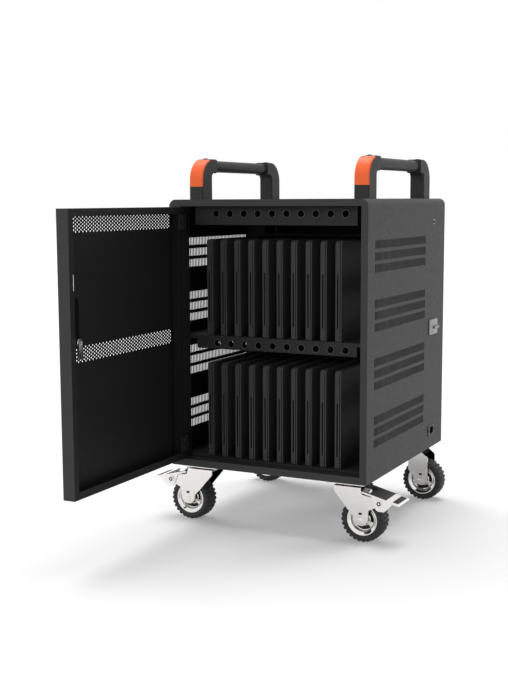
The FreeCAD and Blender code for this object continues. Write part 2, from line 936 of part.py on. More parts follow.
def handle_post(name):
    side = padded(
        name + "_side",
        "YZ_Plane",
        [rounded([
            (0, 0),
            (0, d.handle_height, d.handle_curve),
            (d.handle_arm, d.handle_height),
            (d.handle_arm, d.handle_height - d.handle_arm_height),
            (d.handle_post, d.handle_height - d.handle_arm_height, d.handle_inner_curve),
            (d.handle_post, 0),
        ])],
        "Sizes.handle_width",
        (-d.handle_width / 2, 0, 0),
    )
    doc.recompute()
    edges = []
    for index, edge in enumerate(side.Shape.Edges, start=1):
        span = edge.BoundBox
        if span.XLength < TOUCHING < span.ZMax and span.YMin < d.handle_arm - TOUCHING:
            edges.append(index)
    soft = doc.addObject("Part::Fillet", name + "_soft")
    soft.Base = side
    soft.Edges = [(index, d.handle_edge, d.handle_edge) for index in edges]
    collar = cone(
        name + "_collar",
        (0, d.handle_arm - d.collar_length, collar_height),
        (0, 1, 0),
        "Sizes.collar_radius",
        "Sizes.collar_tip",
        "Sizes.collar_length + Sizes.collar_reach",
    )
    seat = cylinder(
        name + "_seat",
        (0, bar_start, collar_height),
        (0, 1, 0),
        "Sizes.bar_radius + Sizes.running_gap",
        "2 * Sizes.bar_seat",
    )
    return cut(name + "_whole", fused(name + "_moulding", soft, collar), seat)


def inlay_region(name):
    """Band over the outer curve of a post, deeper than the inlay only on its outside."""
    top = d.handle_height
    skin = d.inlay_metal
    band = padded(
        name + "_band",
        "YZ_Plane",
        [rounded([
            (-skin, d.inlay_low),
            (skin, d.inlay_low),
            (skin, top - skin, d.handle_curve - skin),
            (d.handle_curve, top - skin),
            (d.handle_curve, top + skin),
            (-skin, top + skin),
        ])],
        "2 * Sizes.handle_width",
        (-d.handle_width, 0, 0),
    )
    reach = box(
        name + "_reach",
        (-d.handle_width, -skin, 0),
        "2 * Sizes.handle_width",
        "Sizes.inlay_reach + Sizes.inlay_metal",
        "Sizes.handle_height + Sizes.inlay_metal",
    )
    return shared(name + "_region", band, reach)


TURNED_ROUND = Rotation(Vector(0, 0, 1), 180)
for side, x in (("left", -d.handle_spacing / 2), ("right", d.handle_spacing / 2)):
    front_place = Placement(Vector(x, -d.handle_length / 2, high), Rotation())
    rear_place = Placement(Vector(x, d.handle_length / 2, high), TURNED_ROUND)
    label = side + "_handle_front_post"
    whole = handle_post(label)
    node(cut(label, whole, inlay_region(label)), label, CABINET.multiply(front_place))
    inlay = shared(side + "_handle_inlay", whole, inlay_region(side + "_inlay"))
    node(inlay, side + "_handle_inlay", CABINET.multiply(front_place))
    label = side + "_handle_rear_post"
    node(handle_post(label), label, CABINET.multiply(rear_place))
    bar = cylinder(
        side + "_handle_bar",
        (x, -d.handle_length / 2 + bar_start, high + collar_height),
        (0, 1, 0),
        "Sizes.bar_radius",
        "Sizes.handle_length - 2 * (Sizes.handle_arm + Sizes.collar_reach - Sizes.bar_seat)",
    )
    node(bar, side + "_handle_bar")

# Side lock: a block with a barrel through the right side panel, a wing knob and a cam. The cam points
# back when the lock is open and turns up in front of the rear door's catch.
block_y = side_axis_y + d.side_lock_back - d.side_lock_length
block_z = d.side_axis_height - d.side_lock_low
lock_face = padded(
    "side_lock_face",
    "YZ_Plane",
    [rounded([
        (block_y, block_z, d.side_lock_corner),
        (block_y + d.side_lock_length, block_z, d.side_lock_corner),
        (block_y + d.side_lock_length, block_z + d.side_lock_rise, d.side_lock_corner),
        (block_y, block_z + d.side_lock_rise, d.side_lock_corner),
    ])],
    "Sizes.side_lock_plate",
    (right, 0, 0),
)
side_axis = (side_axis_y, d.side_axis_height)
barrel = cylinder(
    "side_lock_barrel",
    (right - d.barrel_length, *side_axis),
    (1, 0, 0),
    "Sizes.barrel_radius",
    "Sizes.barrel_length",
)
barrel_bore = cylinder(
    "side_lock_bore",
    (right - 2 * d.barrel_length, *side_axis),
    (1, 0, 0),
    "Sizes.knob_radius + Sizes.running_gap",
    "3 * Sizes.barrel_length + Sizes.side_lock_plate",
)
side_lock = cut("side_lock_housing", fused("side_lock_solid", lock_face, barrel), barrel_bore)
node(side_lock, "side_lock_housing")
cam_x = right - d.barrel_length - d.clear_gap - d.side_cam_metal
knob_shaft = cylinder(
    "knob_shaft",
    (cam_x + d.side_cam_metal, *side_axis),
    (1, 0, 0),
    "Sizes.knob_radius",
    "Sizes.barrel_length + Sizes.side_lock_plate + 2 * Sizes.clear_gap",
)
wing_y = side_axis_y - d.knob_wing_metal / 2
wing_z = d.side_axis_height - d.knob_wing / 2
knob_wing = padded(
    "knob_wing",
    "YZ_Plane",
    [rounded([
        (wing_y, wing_z, d.knob_corner),
        (wing_y + d.knob_wing_metal, wing_z, d.knob_corner),
        (wing_y + d.knob_wing_metal, wing_z + d.knob_wing, d.knob_corner),
        (wing_y, wing_z + d.knob_wing, d.knob_corner),
    ])],
    "Sizes.knob_reach",
    (right + d.side_lock_plate + d.clear_gap, 0, 0),
)
node(fused("side_lock_knob", knob_shaft, knob_wing), "side_lock_knob")
side_cam = padded(
    "side_lock_cam",
    "YZ_Plane",
    [rounded([
        (side_axis_y - half_cam, d.side_axis_height - half_cam, cam_corner),
        (side_axis_y + d.cam_reach, d.side_axis_height - half_cam, cam_corner),
        (side_axis_y + d.cam_reach, d.side_axis_height + half_cam, cam_corner),
        (side_axis_y - half_cam, d.side_axis_height + half_cam, cam_corner),
    ])],
    "Sizes.side_cam_metal",
    (cam_x, 0, 0),
)
node(side_cam, "side_lock_cam")

# Catch on the rear door's flange: a bent strip whose tab stands in front of the upright cam
catch_x = cam_x - d.catch_clearance - d.catch_metal
tab_y = side_axis_y - half_cam - d.catch_clearance - d.catch_metal
tab_end = cam_x + d.side_cam_metal + d.catch_over
rear_inner = back - d.door_thickness
catch = padded(
    "rear_door_catch",
    "XY_Plane",
    [rounded([
        (catch_x, tab_y),
        (tab_end, tab_y),
        (tab_end, tab_y + d.catch_metal),
        (catch_x + d.catch_metal, tab_y + d.catch_metal),
        (catch_x + d.catch_metal, rear_inner - d.catch_metal),
        (door_right - metal, rear_inner - d.catch_metal),
        (door_right - metal, rear_inner),
        (catch_x, rear_inner),
    ])],
    "Sizes.catch_rise",
    (0, 0, d.side_axis_height + d.catch_lift),
)
node(catch, "rear_door_catch")


# Power inlet: a flange on the right side panel, a socket body behind it and three contact blades
def inlet():
    half_length = d.inlet_length / 2
    half_rise = d.inlet_rise / 2
    flange = padded(
        "inlet_flange",
        "YZ_Plane",
        [rounded([
            (inlet_y - half_length, d.inlet_height - half_rise, d.inlet_corner),
            (inlet_y + half_length, d.inlet_height - half_rise, d.inlet_corner),
            (inlet_y + half_length, d.inlet_height + half_rise, d.inlet_corner),
            (inlet_y - half_length, d.inlet_height + half_rise, d.inlet_corner),
        ])],
        "Sizes.inlet_plate",
        (right, 0, 0),
    )
    body_y = inlet_y - d.inlet_body_length / 2
    body_z = d.inlet_height - d.inlet_body_rise / 2
    body = box(
        "inlet_body",
        (right - d.inlet_body_depth, body_y, body_z),
        "Sizes.inlet_body_depth",
        "Sizes.inlet_body_length",
        "Sizes.inlet_body_rise",
    )
    recess_x = right + d.inlet_plate - d.inlet_recess
    recess_y = body_y + d.inlet_wall
    recess_z = body_z + d.inlet_wall
    recess_length = d.inlet_body_length - 2 * d.inlet_wall
    recess_rise = d.inlet_body_rise - 2 * d.inlet_wall
    keyed = recess_rise / 3
    recess = padded(
        "inlet_recess_cut",
        "YZ_Plane",
        [rounded([
            (recess_y, recess_z),
            (recess_y + recess_length, recess_z),
            (recess_y + recess_length, recess_z + recess_rise - keyed),
            (recess_y + recess_length - keyed, recess_z + recess_rise),
            (recess_y + keyed, recess_z + recess_rise),
            (recess_y, recess_z + recess_rise - keyed),
        ])],
        "2 * Sizes.inlet_recess",
        (recess_x, 0, 0),
    )
    blades = [
        box(
            "inlet_blade",
            (recess_x - d.blade_metal, blade_y - d.blade_metal / 2, blade_z - d.blade_rise / 2),
            "Sizes.inlet_recess - Sizes.inlet_plate",
            "Sizes.blade_metal",
            "Sizes.blade_rise",
        )
        for blade_y, blade_z in (
            (inlet_y - d.blade_spacing, d.inlet_height - d.blade_lift),
            (inlet_y, d.inlet_height + d.blade_lift),
            (inlet_y + d.blade_spacing, d.inlet_height - d.blade_lift),
        )
    ]
    socket = cut("inlet_socket", fused("inlet_moulding", flange, body), recess)
    return fused("power_inlet", socket, *blades)


node(inlet(), "power_inlet")


# Socket strips on the back of the partition, one behind each bay, with ten sockets facing back
def socket_strip(label, bay_floor):
    strip_low = bay_floor + d.socket_strip_drop
    strip_front = bay_back + metal
    case = box(
        label + "_case",
        (-d.socket_strip_length / 2, strip_front, strip_low),
        "Sizes.socket_strip_length",
        "Sizes.socket_strip_depth",
        "Sizes.socket_strip_rise",
    )
    openings = [
        box(
            label + "_socket",
            (
                x - d.socket_opening / 2,
                strip_front + d.socket_strip_depth - d.socket_recess,
                strip_low + (d.socket_strip_rise - d.socket_opening) / 2,
            ),
            "Sizes.socket_opening",
            "2 * Sizes.socket_recess",
            "Sizes.socket_opening",
        )
        for x in spread(d.strip_socket_count, d.socket_strip_length / d.strip_socket_count)
    ]
    return node(cut(label, case, *openings), label)


socket_strip("lower_socket_strip", lower_floor)
socket_strip("upper_socket_strip", upper_floor)

# Casters, drawn with the swivel axis on Z, the floor at zero and the wheel trailing towards +X
wheel_x = d.trail
fork_outer = d.fork_gap / 2 + d.fork_metal
raceway_low = low - d.caster_plate_metal - d.raceway_height
nut_top = d.crown_height - d.crown_metal - d.clear_gap
ALONG_Y = Rotation(Vector(1, 0, 0), 90)


def caster_plate():
    """Top plate with its raceway cup and the kingpin that carries the fork."""
    half_length = d.caster_plate_length / 2
    half_width = d.caster_plate_width / 2
    plate = padded(
        "caster_top_plate",
        "XY_Plane",
        [rounded([
            (-half_length, -half_width, d.caster_plate_corner),
            (half_length, -half_width, d.caster_plate_corner),
            (half_length, half_width, d.caster_plate_corner),
            (-half_length, half_width, d.caster_plate_corner),
        ])],
        "Sizes.caster_plate_metal",
        (0, 0, low - d.caster_plate_metal),
    )
    head = turned(
        "caster_swivel_head",
        [
            (0, nut_top - d.kingpin_nut),
            (d.kingpin_nut_radius, nut_top - d.kingpin_nut),
            (d.kingpin_nut_radius, nut_top),
            (d.kingpin_radius, nut_top),
            (d.kingpin_radius, raceway_low),
            (d.raceway_radius, raceway_low),
            (d.raceway_radius, low - d.caster_plate_metal),
            (0, low - d.caster_plate_metal),
        ],
        Placement(),
    )
    return fused("caster_plate", plate, head)


def side_plate_outline(braked):
    """Fork side plate seen from the side; a braked fork reaches out to the pedal's pivot."""
    top = d.crown_height
    leg_left = wheel_x - d.leg_reach
    leg_low = d.wheel_radius + d.leg_low
    ear_left = wheel_x - d.ear_radius
    ear_right = wheel_x + d.ear_radius
    ear_low = d.wheel_radius - d.ear_drop
    tail = [(-d.fork_tail, top), (-d.fork_tail, top - d.fork_lip, d.fork_bend / 2)]
    ear = [
        (leg_left, leg_low, d.fork_bend),
        (ear_left, d.wheel_radius + d.neck_rise, d.fork_bend),
        (ear_left, ear_low, d.ear_radius),
        (ear_right, ear_low, d.ear_radius),
    ]
    shoulder = top - d.shoulder_drop
    if not braked:
        ledge = (leg_left, shoulder - d.fork_bend / 2, d.fork_bend)
        return rounded([*tail, ledge, *ear, (ear_right, shoulder, d.fork_bend), (wheel_x, top)])
    lobe = d.pedal_pivot_radius + d.pivot_wall
    lobe_low = d.pedal_pivot_z - lobe
    lobe_end = d.pedal_pivot_x + lobe
    lobe_corner = lobe - d.corner_flat / 2
    return rounded([
        *tail,
        *ear,
        (ear_right, leg_low, d.fork_bend),
        (d.pedal_pivot_x, lobe_low, d.pedal_pivot_radius),
        (lobe_end, lobe_low, lobe_corner),
        (lobe_end, d.pedal_pivot_z + lobe, lobe_corner),
        (wheel_x + d.shoulder_reach, shoulder, d.shoulder_reach),
        (wheel_x, top),
    ])


def fork(label, braked):
    plates = [
        padded(label + "_plate", "XZ_Plane", [side_plate_outline(braked)], "Sizes.fork_metal", (0, y, 0))
        for y in (fork_outer, d.fork_metal - fork_outer)
    ]
    crown = box(
        label + "_crown",
        (-d.fork_tail, -fork_outer, d.crown_height - d.crown_metal),
        "Sizes.trail + Sizes.fork_tail",
        "Sizes.fork_gap + 2 * Sizes.fork_metal",
        "Sizes.crown_metal",
    )
    dish_height = "Sizes.underside - Sizes.caster_plate_metal - Sizes.raceway_height - Sizes.crown_height"
    dish = cylinder(
        label + "_dish",
        (0, 0, d.crown_height),
        (0, 0, 1),
        "Sizes.dish_radius",
        dish_height + " - Sizes.clear_gap",
    )
    kingpin_hole = cylinder(
        label + "_kingpin_hole",
        (0, 0, 0),
        (0, 0, 1),
        "Sizes.kingpin_radius + Sizes.running_gap",
        "Sizes.underside",
    )
    axle_hole = cylinder(
        label + "_axle_hole",
        (wheel_x, -d.fork_gap, d.wheel_radius),
        (0, 1, 0),
        "Sizes.axle_radius + Sizes.running_gap",
        "2 * Sizes.fork_gap",
    )
    pieces = [crown, dish, *plates]
    if braked:
        pieces += pedal_bosses(label)
    return cut(label, fused(label + "_metal", *pieces), kingpin_hole, axle_hole)


def pedal_bosses(label):
    """Headed studs on both side plates that the pedal's arms turn on."""
    stud = d.pedal_arm_metal + 2 * d.clear_gap
    profile = [
        (0, 0),
        (d.pedal_pivot_radius, 0),
        (d.pedal_pivot_radius, stud),
        (d.pedal_pivot_radius + d.stud_head_lip, stud),
        (d.pedal_pivot_radius + d.stud_head_lip, stud + d.stud_head),
        (0, stud + d.stud_head),
    ]
    bosses = []
    for sign in (-1, 1):
        out = Rotation(Vector(0, 0, 1), Vector(0, sign, 0))
        place = Placement(Vector(d.pedal_pivot_x, sign * fork_outer, d.pedal_pivot_z), out)
        bosses.append(turned(label + "_boss", profile, place))
    return bosses


def axle(label):
    """Headed axle bolt with its nut, clamped on the fork's side plates."""
    profile = [
        (0, -fork_outer - d.axle_head),
        (d.axle_head_radius, -fork_outer - d.axle_head),
        (d.axle_head_radius, -fork_outer),
        (d.axle_radius, -fork_outer),
        (d.axle_radius, fork_outer),
        (d.axle_head_radius, fork_outer),
        (d.axle_head_radius, fork_outer + d.axle_head),
        (0, fork_outer + d.axle_head),
    ]
    return turned(label, profile, Placement(Vector(wheel_x, 0, d.wheel_radius), ALONG_Y))


def arc_window(inner, outer, start, end):
    """Closed loop between two radii and two angles round the zero of a sketch."""
    def spot(radius, angle):
        return Vector(radius * math.cos(angle), radius * math.sin(angle), 0)

    middle = (start + end) / 2
    return [
        Part.Arc(spot(outer, start), spot(outer, middle), spot(outer, end)),
        Part.LineSegment(spot(outer, end), spot(inner, end)),
        Part.Arc(spot(inner, end), spot(inner, middle), spot(inner, start)),
        Part.LineSegment(spot(inner, start), spot(outer, start)),
    ]


def rim(label):
    """Bored hub, dished ring and a web with long windows between its spokes."""
    bore = d.axle_radius + d.running_gap
    ring = d.rim_radius - d.rim_wall
    half_web = d.web_metal / 2
    half_rim = d.rim_width / 2
    half_ring = half_rim - d.rim_dish
    half_hub = d.hub_width / 2
    lip = d.rim_radius - d.rim_lip
    disc = turned(
        label + "_disc",
        [
            (bore, -half_hub),
            (d.hub_radius, -half_hub),
            (d.hub_radius, -half_web),
            (ring, -half_web),
            (ring, -half_ring),
            (lip, -half_rim),
            (d.rim_radius, -half_rim),
            (d.rim_radius, half_rim),
            (lip, half_rim),
            (ring, half_ring),
            (ring, half_web),
            (d.hub_radius, half_web),
            (d.hub_radius, half_hub),
            (bore, half_hub),
        ],
        Placement(Vector(wheel_x, 0, d.wheel_radius), ALONG_Y),
    )
    inner = d.hub_radius + d.window_margin
    outer = ring - d.window_margin
    half_spoke = d.rim_spoke / (inner + outer)
    pitch = 2 * math.pi / d.rim_windows
    windows = padded(
        label + "_windows",
        "XZ_Plane",
        [
            arc_window(inner, outer, index * pitch + half_spoke, (index + 1) * pitch - half_spoke)
            for index in range(int(d.rim_windows))
        ],
        "2 * Sizes.web_metal",
        (wheel_x, d.web_metal, d.wheel_radius),
    )
    return cut(label, disc, windows)


def tyre(label):
    """Solid rubber tyre with bevelled shoulders, cut by a ring of lug gaps."""
    half = d.tyre_width / 2
    carcass = turned(
        label + "_carcass",
        [
            (d.rim_radius, d.bead_width - half),
            (d.rim_radius + d.bead_height, -half),
            (d.wheel_radius - d.tyre_shoulder, -half),
            (d.wheel_radius, d.tyre_shoulder - half),
            (d.wheel_radius, half - d.tyre_shoulder),
            (d.wheel_radius - d.tyre_shoulder, half),
            (d.rim_radius + d.bead_height, half),
            (d.rim_radius, half - d.bead_width),
        ],
        Placement(Vector(wheel_x, 0, d.wheel_radius), ALONG_Y),
    )
    gaps = []
    for index in range(int(d.lug_count)):
        turn = Rotation(Vector(0, 1, 0), 360.0 * (index + 0.5) / d.lug_count)
        gap = box(label + "_gap", (0, 0, 0), "2 * Sizes.lug_depth", "2 * Sizes.tyre_width", "Sizes.lug_gap")
        corner = Vector(d.wheel_radius - d.lug_depth, -d.tyre_width, -d.lug_gap / 2)
        gap.Placement = Placement(turn.multVec(corner) + Vector(wheel_x, 0, d.wheel_radius), turn)
        gaps.append(gap)
    return cut(label, carcass, *gaps)


def pedal(label):
    """Brake pedal: a sloping tread, and an arm with a round lobe down to each stud."""
    inner = fork_outer + d.clear_gap
    outer = inner + d.pedal_arm_metal
    slope = (d.pedal_start_height - d.pedal_end_height) / (d.pedal_end - d.pedal_start)
    half = d.pedal_metal / 2
    tread = padded(
        label + "_tread",
        "XZ_Plane",
        [rounded([
            (d.pedal_start, d.pedal_start_height - half, d.pedal_edge),
            (d.pedal_end, d.pedal_end_height - half, d.pedal_edge),
            (d.pedal_end, d.pedal_end_height + half, d.pedal_edge),
            (d.pedal_start, d.pedal_start_height + half, d.pedal_edge),
        ])],
        "2 * (Sizes.fork_gap / 2 + Sizes.fork_metal + Sizes.clear_gap + Sizes.pedal_arm_metal)",
        (0, outer, 0),
    )
    lobe_low = d.pedal_pivot_z - d.arm_drop
    arm_outline = rounded([
        (d.arm_start, d.pedal_start_height - slope * (d.arm_start - d.pedal_start)),
        (d.pedal_pivot_x - d.arm_left, lobe_low, d.arm_curve),
        (d.pedal_pivot_x + d.arm_right, lobe_low, d.arm_curve),
        (d.arm_end, d.pedal_start_height - slope * (d.arm_end - d.pedal_start)),
    ])
    bore = circle(d.pedal_pivot_x, d.pedal_pivot_z, d.pedal_pivot_radius + d.running_gap)
    arms = [
        padded(label + "_arm", "XZ_Plane", [arm_outline, bore], "Sizes.pedal_arm_metal", (0, y, 0))
        for y in (outer, -inner)
    ]
    return fused(label, tread, *arms)


def caster_places():
    for sign_y, row_name in ((-1, "front"), (1, "rear")):
        for sign_x, side_name in ((-1, "left"), (1, "right")):
            spot = Vector(sign_x * d.swivel_spacing_x / 2, sign_y * d.swivel_spacing_y / 2, 0)
            turn = Rotation() if sign_x > 0 else TURNED_ROUND
            yield "%s_%s" % (row_name, side_name), row_name == "front", Placement(spot, turn)


node(repeated("caster_plates", caster_plate(), [place for _, _, place in caster_places()]), "caster_plates")
for corner, braked, place in caster_places():
    there = CABINET.multiply(place)
    node(fork(corner + "_fork", braked), corner + "_fork", there)
    node(axle(corner + "_axle"), corner + "_axle", there)
    node(rim(corner + "_rim"), corner + "_rim", there)
    node(tyre(corner + "_tyre"), corner + "_tyre", there)
    if braked:
        node(pedal(corner + "_brake_pedal"), corner + "_brake_pedal", there)

doc.recompute()

for obj in doc.Objects:
    if "Invalid" in obj.State or "Error" in obj.State:
        raise RuntimeError("%s did not build: %s" % (obj.Label, obj.State))
for label, obj in nodes.items():
    if obj.Shape.isNull() or not obj.Shape.isValid() or obj.Shape.Volume <= 0:
        raise RuntimeError("%s has no sound solid" % label)

os.makedirs("parts", exist_ok=True)
for label, obj in nodes.items():
    obj.Shape.exportStep("parts/%s.step" % label)
print("%d sub-parts" % len(nodes))
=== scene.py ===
import json
import math

import bmesh
import bpy
from bpy.props import FloatProperty, FloatVectorProperty, IntProperty, PointerProperty
from mathutils import Matrix, Vector


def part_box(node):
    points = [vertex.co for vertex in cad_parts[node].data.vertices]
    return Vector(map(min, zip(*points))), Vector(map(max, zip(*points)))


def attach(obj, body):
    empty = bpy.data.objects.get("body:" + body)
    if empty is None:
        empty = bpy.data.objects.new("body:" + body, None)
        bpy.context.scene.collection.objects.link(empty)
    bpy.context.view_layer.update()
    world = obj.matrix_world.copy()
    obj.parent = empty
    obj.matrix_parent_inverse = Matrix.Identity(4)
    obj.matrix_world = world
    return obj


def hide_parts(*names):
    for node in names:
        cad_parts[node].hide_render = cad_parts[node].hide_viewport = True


bl_info = {
    "name": "Charging cabinet",
    "version": (1, 0, 0),
    "blender": (4, 5, 0),
    "location": "View3D > Sidebar > Cabinet",
    "description": "Dresses the charging cabinet: vents, dividers, casters, trim, finishes and stage",
    "category": "Object",
}

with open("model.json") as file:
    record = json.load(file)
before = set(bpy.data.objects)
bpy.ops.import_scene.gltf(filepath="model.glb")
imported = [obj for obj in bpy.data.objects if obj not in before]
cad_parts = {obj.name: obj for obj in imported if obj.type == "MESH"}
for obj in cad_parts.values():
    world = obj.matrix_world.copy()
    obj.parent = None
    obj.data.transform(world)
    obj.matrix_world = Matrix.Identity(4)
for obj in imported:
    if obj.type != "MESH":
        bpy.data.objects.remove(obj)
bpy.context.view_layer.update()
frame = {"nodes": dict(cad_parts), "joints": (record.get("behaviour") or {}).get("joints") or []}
JOINTS = {joint["name"]: joint for joint in frame["joints"]}
MM = 0.001
SIDES = ("left", "right")
CORNERS = ("front_left", "front_right", "rear_left", "rear_right")
FRONT_CORNERS = CORNERS[:2]
# Angles that make an edge sharp, or a rim, and under which two faces are one flat face
SHARP_ANGLE = math.radians(32)
RIM_ANGLE = 1.0
FLAT_ANGLE = 0.001
# Lengths below this are none
TINY = 1e-7
# Depth of the outer skin of a piece whose faces within it get painted shade, and from the side of a fork's
# box to the space between its legs, where the fork's painted shade starts
SHADE_SKIN_DEPTH = 1.0 * MM
FORK_LEGS = {"front": 8.0 * MM, "rear": 2.9 * MM}


def mm(*sizes):
    """Sizes in millimetres, turned into metres."""
    return [size * MM for size in sizes]


def row_of(name):
    """Front or rear, from the name of a caster's corner or node."""
    return name.split("_")[0]


def length(name, description, default_mm):
    """A length property in metres, with its default given in millimetres."""
    return FloatProperty(
        name=name, description=description, default=default_mm * MM, min=0.0, precision=4, unit="LENGTH"
    )


def colour(name, description, default):
    """A colour property."""
    return FloatVectorProperty(
        name=name, description=description, default=default, size=3, min=0.0, max=1.0, subtype="COLOR"
    )


def count(name, description, default, least=2):
    """A number of like things."""
    return IntProperty(name=name, description=description, default=default, min=least)


def angle(name, description, degrees):
    """An angle property, with its default given in degrees."""
    return FloatProperty(name=name, description=description, default=math.radians(degrees), unit="ROTATION")


def power(name, description, default):
    """Strength of a light."""
    return FloatProperty(name=name, description=description, default=default, min=0.0)


class CabinetFinishes(bpy.types.PropertyGroup):
    """Colours of the cabinet's finishes."""

    steel: colour("Steel", "Powder coat of the body and doors", (0.044, 0.044, 0.045))
    # Painted shade: the inside's coat is darker than the body's, standing for the shade inside the cabinet
    inside: colour("Inside", "Powder coat of the shelves, panels and hinges inside", (0.021, 0.021, 0.022))
    # Painted shade: a still darker coat for the inner faces of the doors, walls and frames
    painted_shade: colour("Lining", "Darker coat of the inner faces of doors and walls", (0.012, 0.012, 0.013))
    divider: colour("Dividers", "Moulded dividers", (0.042, 0.042, 0.043))
    handle: colour("Handles", "Moulded handle posts and bars", (0.040, 0.040, 0.041))
    inlay: colour("Inlays", "Orange inlays of the front handle posts", (0.93, 0.155, 0.050))
    tyre: colour("Tyres", "Rubber of the caster tyres", (0.022, 0.022, 0.023))
    zinc: colour("Zinc", "Bright plating of the casters", (0.78, 0.76, 0.745))
    pedal: colour("Pedal", "Blasted plating of the brake pedals", (0.90, 0.885, 0.87))
    # Painted shade: darker plating for the casters' top plates and between the fork legs, standing for the
    # shade and dark reflection under the cabinet
    zinc_shade: colour("Dull zinc", "Plating of the top plates and inside the forks", (0.12, 0.12, 0.12))
    lock: colour("Locks", "Satin metal of the locks", (0.225, 0.225, 0.23))
    # Also the colour of the black pieces that are painted shade: rim discs, gap sheets, hole sheets, pedal
    # covers and rings
    black: colour("Black plastic", "Sockets, sleeves of the ports and dark trim", (0.012, 0.012, 0.013))
    housing: colour("Lock housing", "Moulded lock housing of the door", (0.004, 0.004, 0.004))
    bezel: colour("Bezel", "Bezel of the power inlet and collars of the ports", (0.070, 0.070, 0.071))
    grey: colour("Grey plastic", "Pads of the brake pedals", (0.034, 0.034, 0.035))


class CabinetVents(bpy.types.PropertyGroup):
    """Slits of the side panels and holes of the door strips."""

    front: length("Front margin", "From the panel's front edge to the first slit", 41.5)
    reach: length("Row length", "Length of one row of slits", 332.0)
    low: length("Lower margin", "From the panel's lower edge to the first row", 73.3)
    group_pitch: length("Group pitch", "Height from one group of rows to the next", 126.4)
    row_pitch: length("Row pitch", "Height from one row to the next", 25.3)
    row_height: length("Row height", "Height of one slit", 18.4)
    slit: length("Slit width", "Width of one slit", 4.6)
    slit_corner: length("Slit corner", "Cut across a slit's corner", 1.2)
    groups: count("Groups", "Groups of rows", 4, 1)
    rows: count("Rows", "Rows in a group", 3, 1)
    slits: count("Slits", "Slits in a row", 46)
    hole: length("Hole", "Diameter of a hole in the door strips", 3.9)
    hole_step: length("Hole step", "Distance between neighbouring holes", 7.2)
    strip_sheet: length("Strip sheet", "Thickness of the perforated sheet", 0.7)
    lock_hole: length("Lock hole", "Radius of the hole behind the side lock", 9.3)
    slot_back: length("Slot back", "From the panel's back edge to the security slot", 83.0)
    slot_drop: length("Slot drop", "From the panel's upper edge to the security slot", 39.5)
    slot_reach: length("Slot length", "Length of the security slot", 9.0)
    slot_rise: length("Slot height", "Height of the security slot", 4.0)
    slot_corner: length("Slot corner", "Cut across the security slot's corner", 1.0)
    inlet_hole: length("Inlet hole", "Length of the hole behind the inlet", 28.6)
    inlet_hole_rise: length("Inlet hole height", "Height of that hole", 20.6)


class CabinetDividers(bpy.types.PropertyGroup):
    """Moulded dividers, cable ports and sockets."""

    count: count("Count", "Dividers on each shelf", 10)
    width: length("Width", "Thickness of one divider", 15.3)
    corner: length("Corner", "Radius of the upper front corner", 10.0)
    edge: length("Edge", "Rounding along the divider's outline", 1.3)
    slot: length("Slot", "Width of the slot in the front edge", 3.0)
    slot_depth: length("Slot depth", "Depth of that slot", 7.0)
    seam: length("Seam", "Width of the parting groove", 1.7)
    seam_depth: length("Seam depth", "Depth of the parting groove", 3.0)
    seam_offset: length("Seam offset", "From the divider's middle to the groove", 3.4)
    port_pitch: length("Port pitch", "Distance between cable ports", 34.9)
    port_shift: length("Port shift", "From a divider to the port beside it", 17.55)
    upper_port_drop: length("Upper port drop", "From the top down to the upper ports", 32.0)
    lower_port_drop: length("Lower port drop", "From the upper shelf down to the lower ports", 17.0)
    shelf_lip: length("Shelf lip", "Height of the upper shelf's front lip", 8.0)
    sockets: count("Sockets", "Sockets on each strip", 10)
    socket_face: length("Socket face", "Half the side of one socket's face", 12.8)
    socket_recess: length("Socket recess", "Depth of a socket's face in its strip", 2.0)


class CabinetCasters(bpy.types.PropertyGroup):
    """Wheels and pedals."""

    radius: length("Wheel radius", "Outer radius of the tyre", 50.0)
    seat: length("Rim radius", "Radius where the tyre sits on its rim", 35.0)
    tyre_width: length("Tyre width", "Width across the tyre", 45.0)
    lugs: count("Lugs", "Lugs round one shoulder of the tyre", 28, 6)
    lug_depth: length("Lug depth", "Depth of the gaps between the lugs", 3.0)
    spokes: count("Spokes", "Spokes of the rim", 3)
    spoke_width: length("Spoke width", "Width of one spoke", 11.0)
    window_inner: length("Window inside", "Inner radius of the windows between the spokes", 15.5)
    window_outer: length("Window outside", "Outer radius of the windows", 23.5)
    leg_face: length("Leg face", "From the wheel's middle to the fork's outer face", 29.6)
    ear: length("Ear plate", "Thickness of the pressed ear on the fork's leg", 0.8)
    pedal_start: length("Pedal start", "From the swivel axis to the tread's inner edge", 39.0)
    pedal_top: length("Pedal top", "Height of the tread's upper face there", 117.75)
    tab: length("Tab", "Length of the stop tab on the pedal", 18.0)
    tab_width: length("Tab width", "Width of that tab", 13.0)
    tab_hole: length("Tab hole", "Radius of the tab's hole", 2.4)
    tab_start: length("Tab start", "From the tread's inner edge to the tab's middle", 10.0)
    tab_side: length("Tab side", "From the pedal's middle to the tab", 24.0)
    tab_lift: length("Tab lift", "Height of the tab's middle over the tread", 3.4)
    tab_tilt: angle("Tab tilt", "Slope of the tab to the outside", 24)
    tab_metal: length("Tab metal", "Thickness of the tab", 1.2)
    tab_corner: length("Tab corner", "Cut across the tab's corner", 2.0)
    tab_hole_shift: length("Tab hole shift", "From the tab's middle to its hole", 2.0)


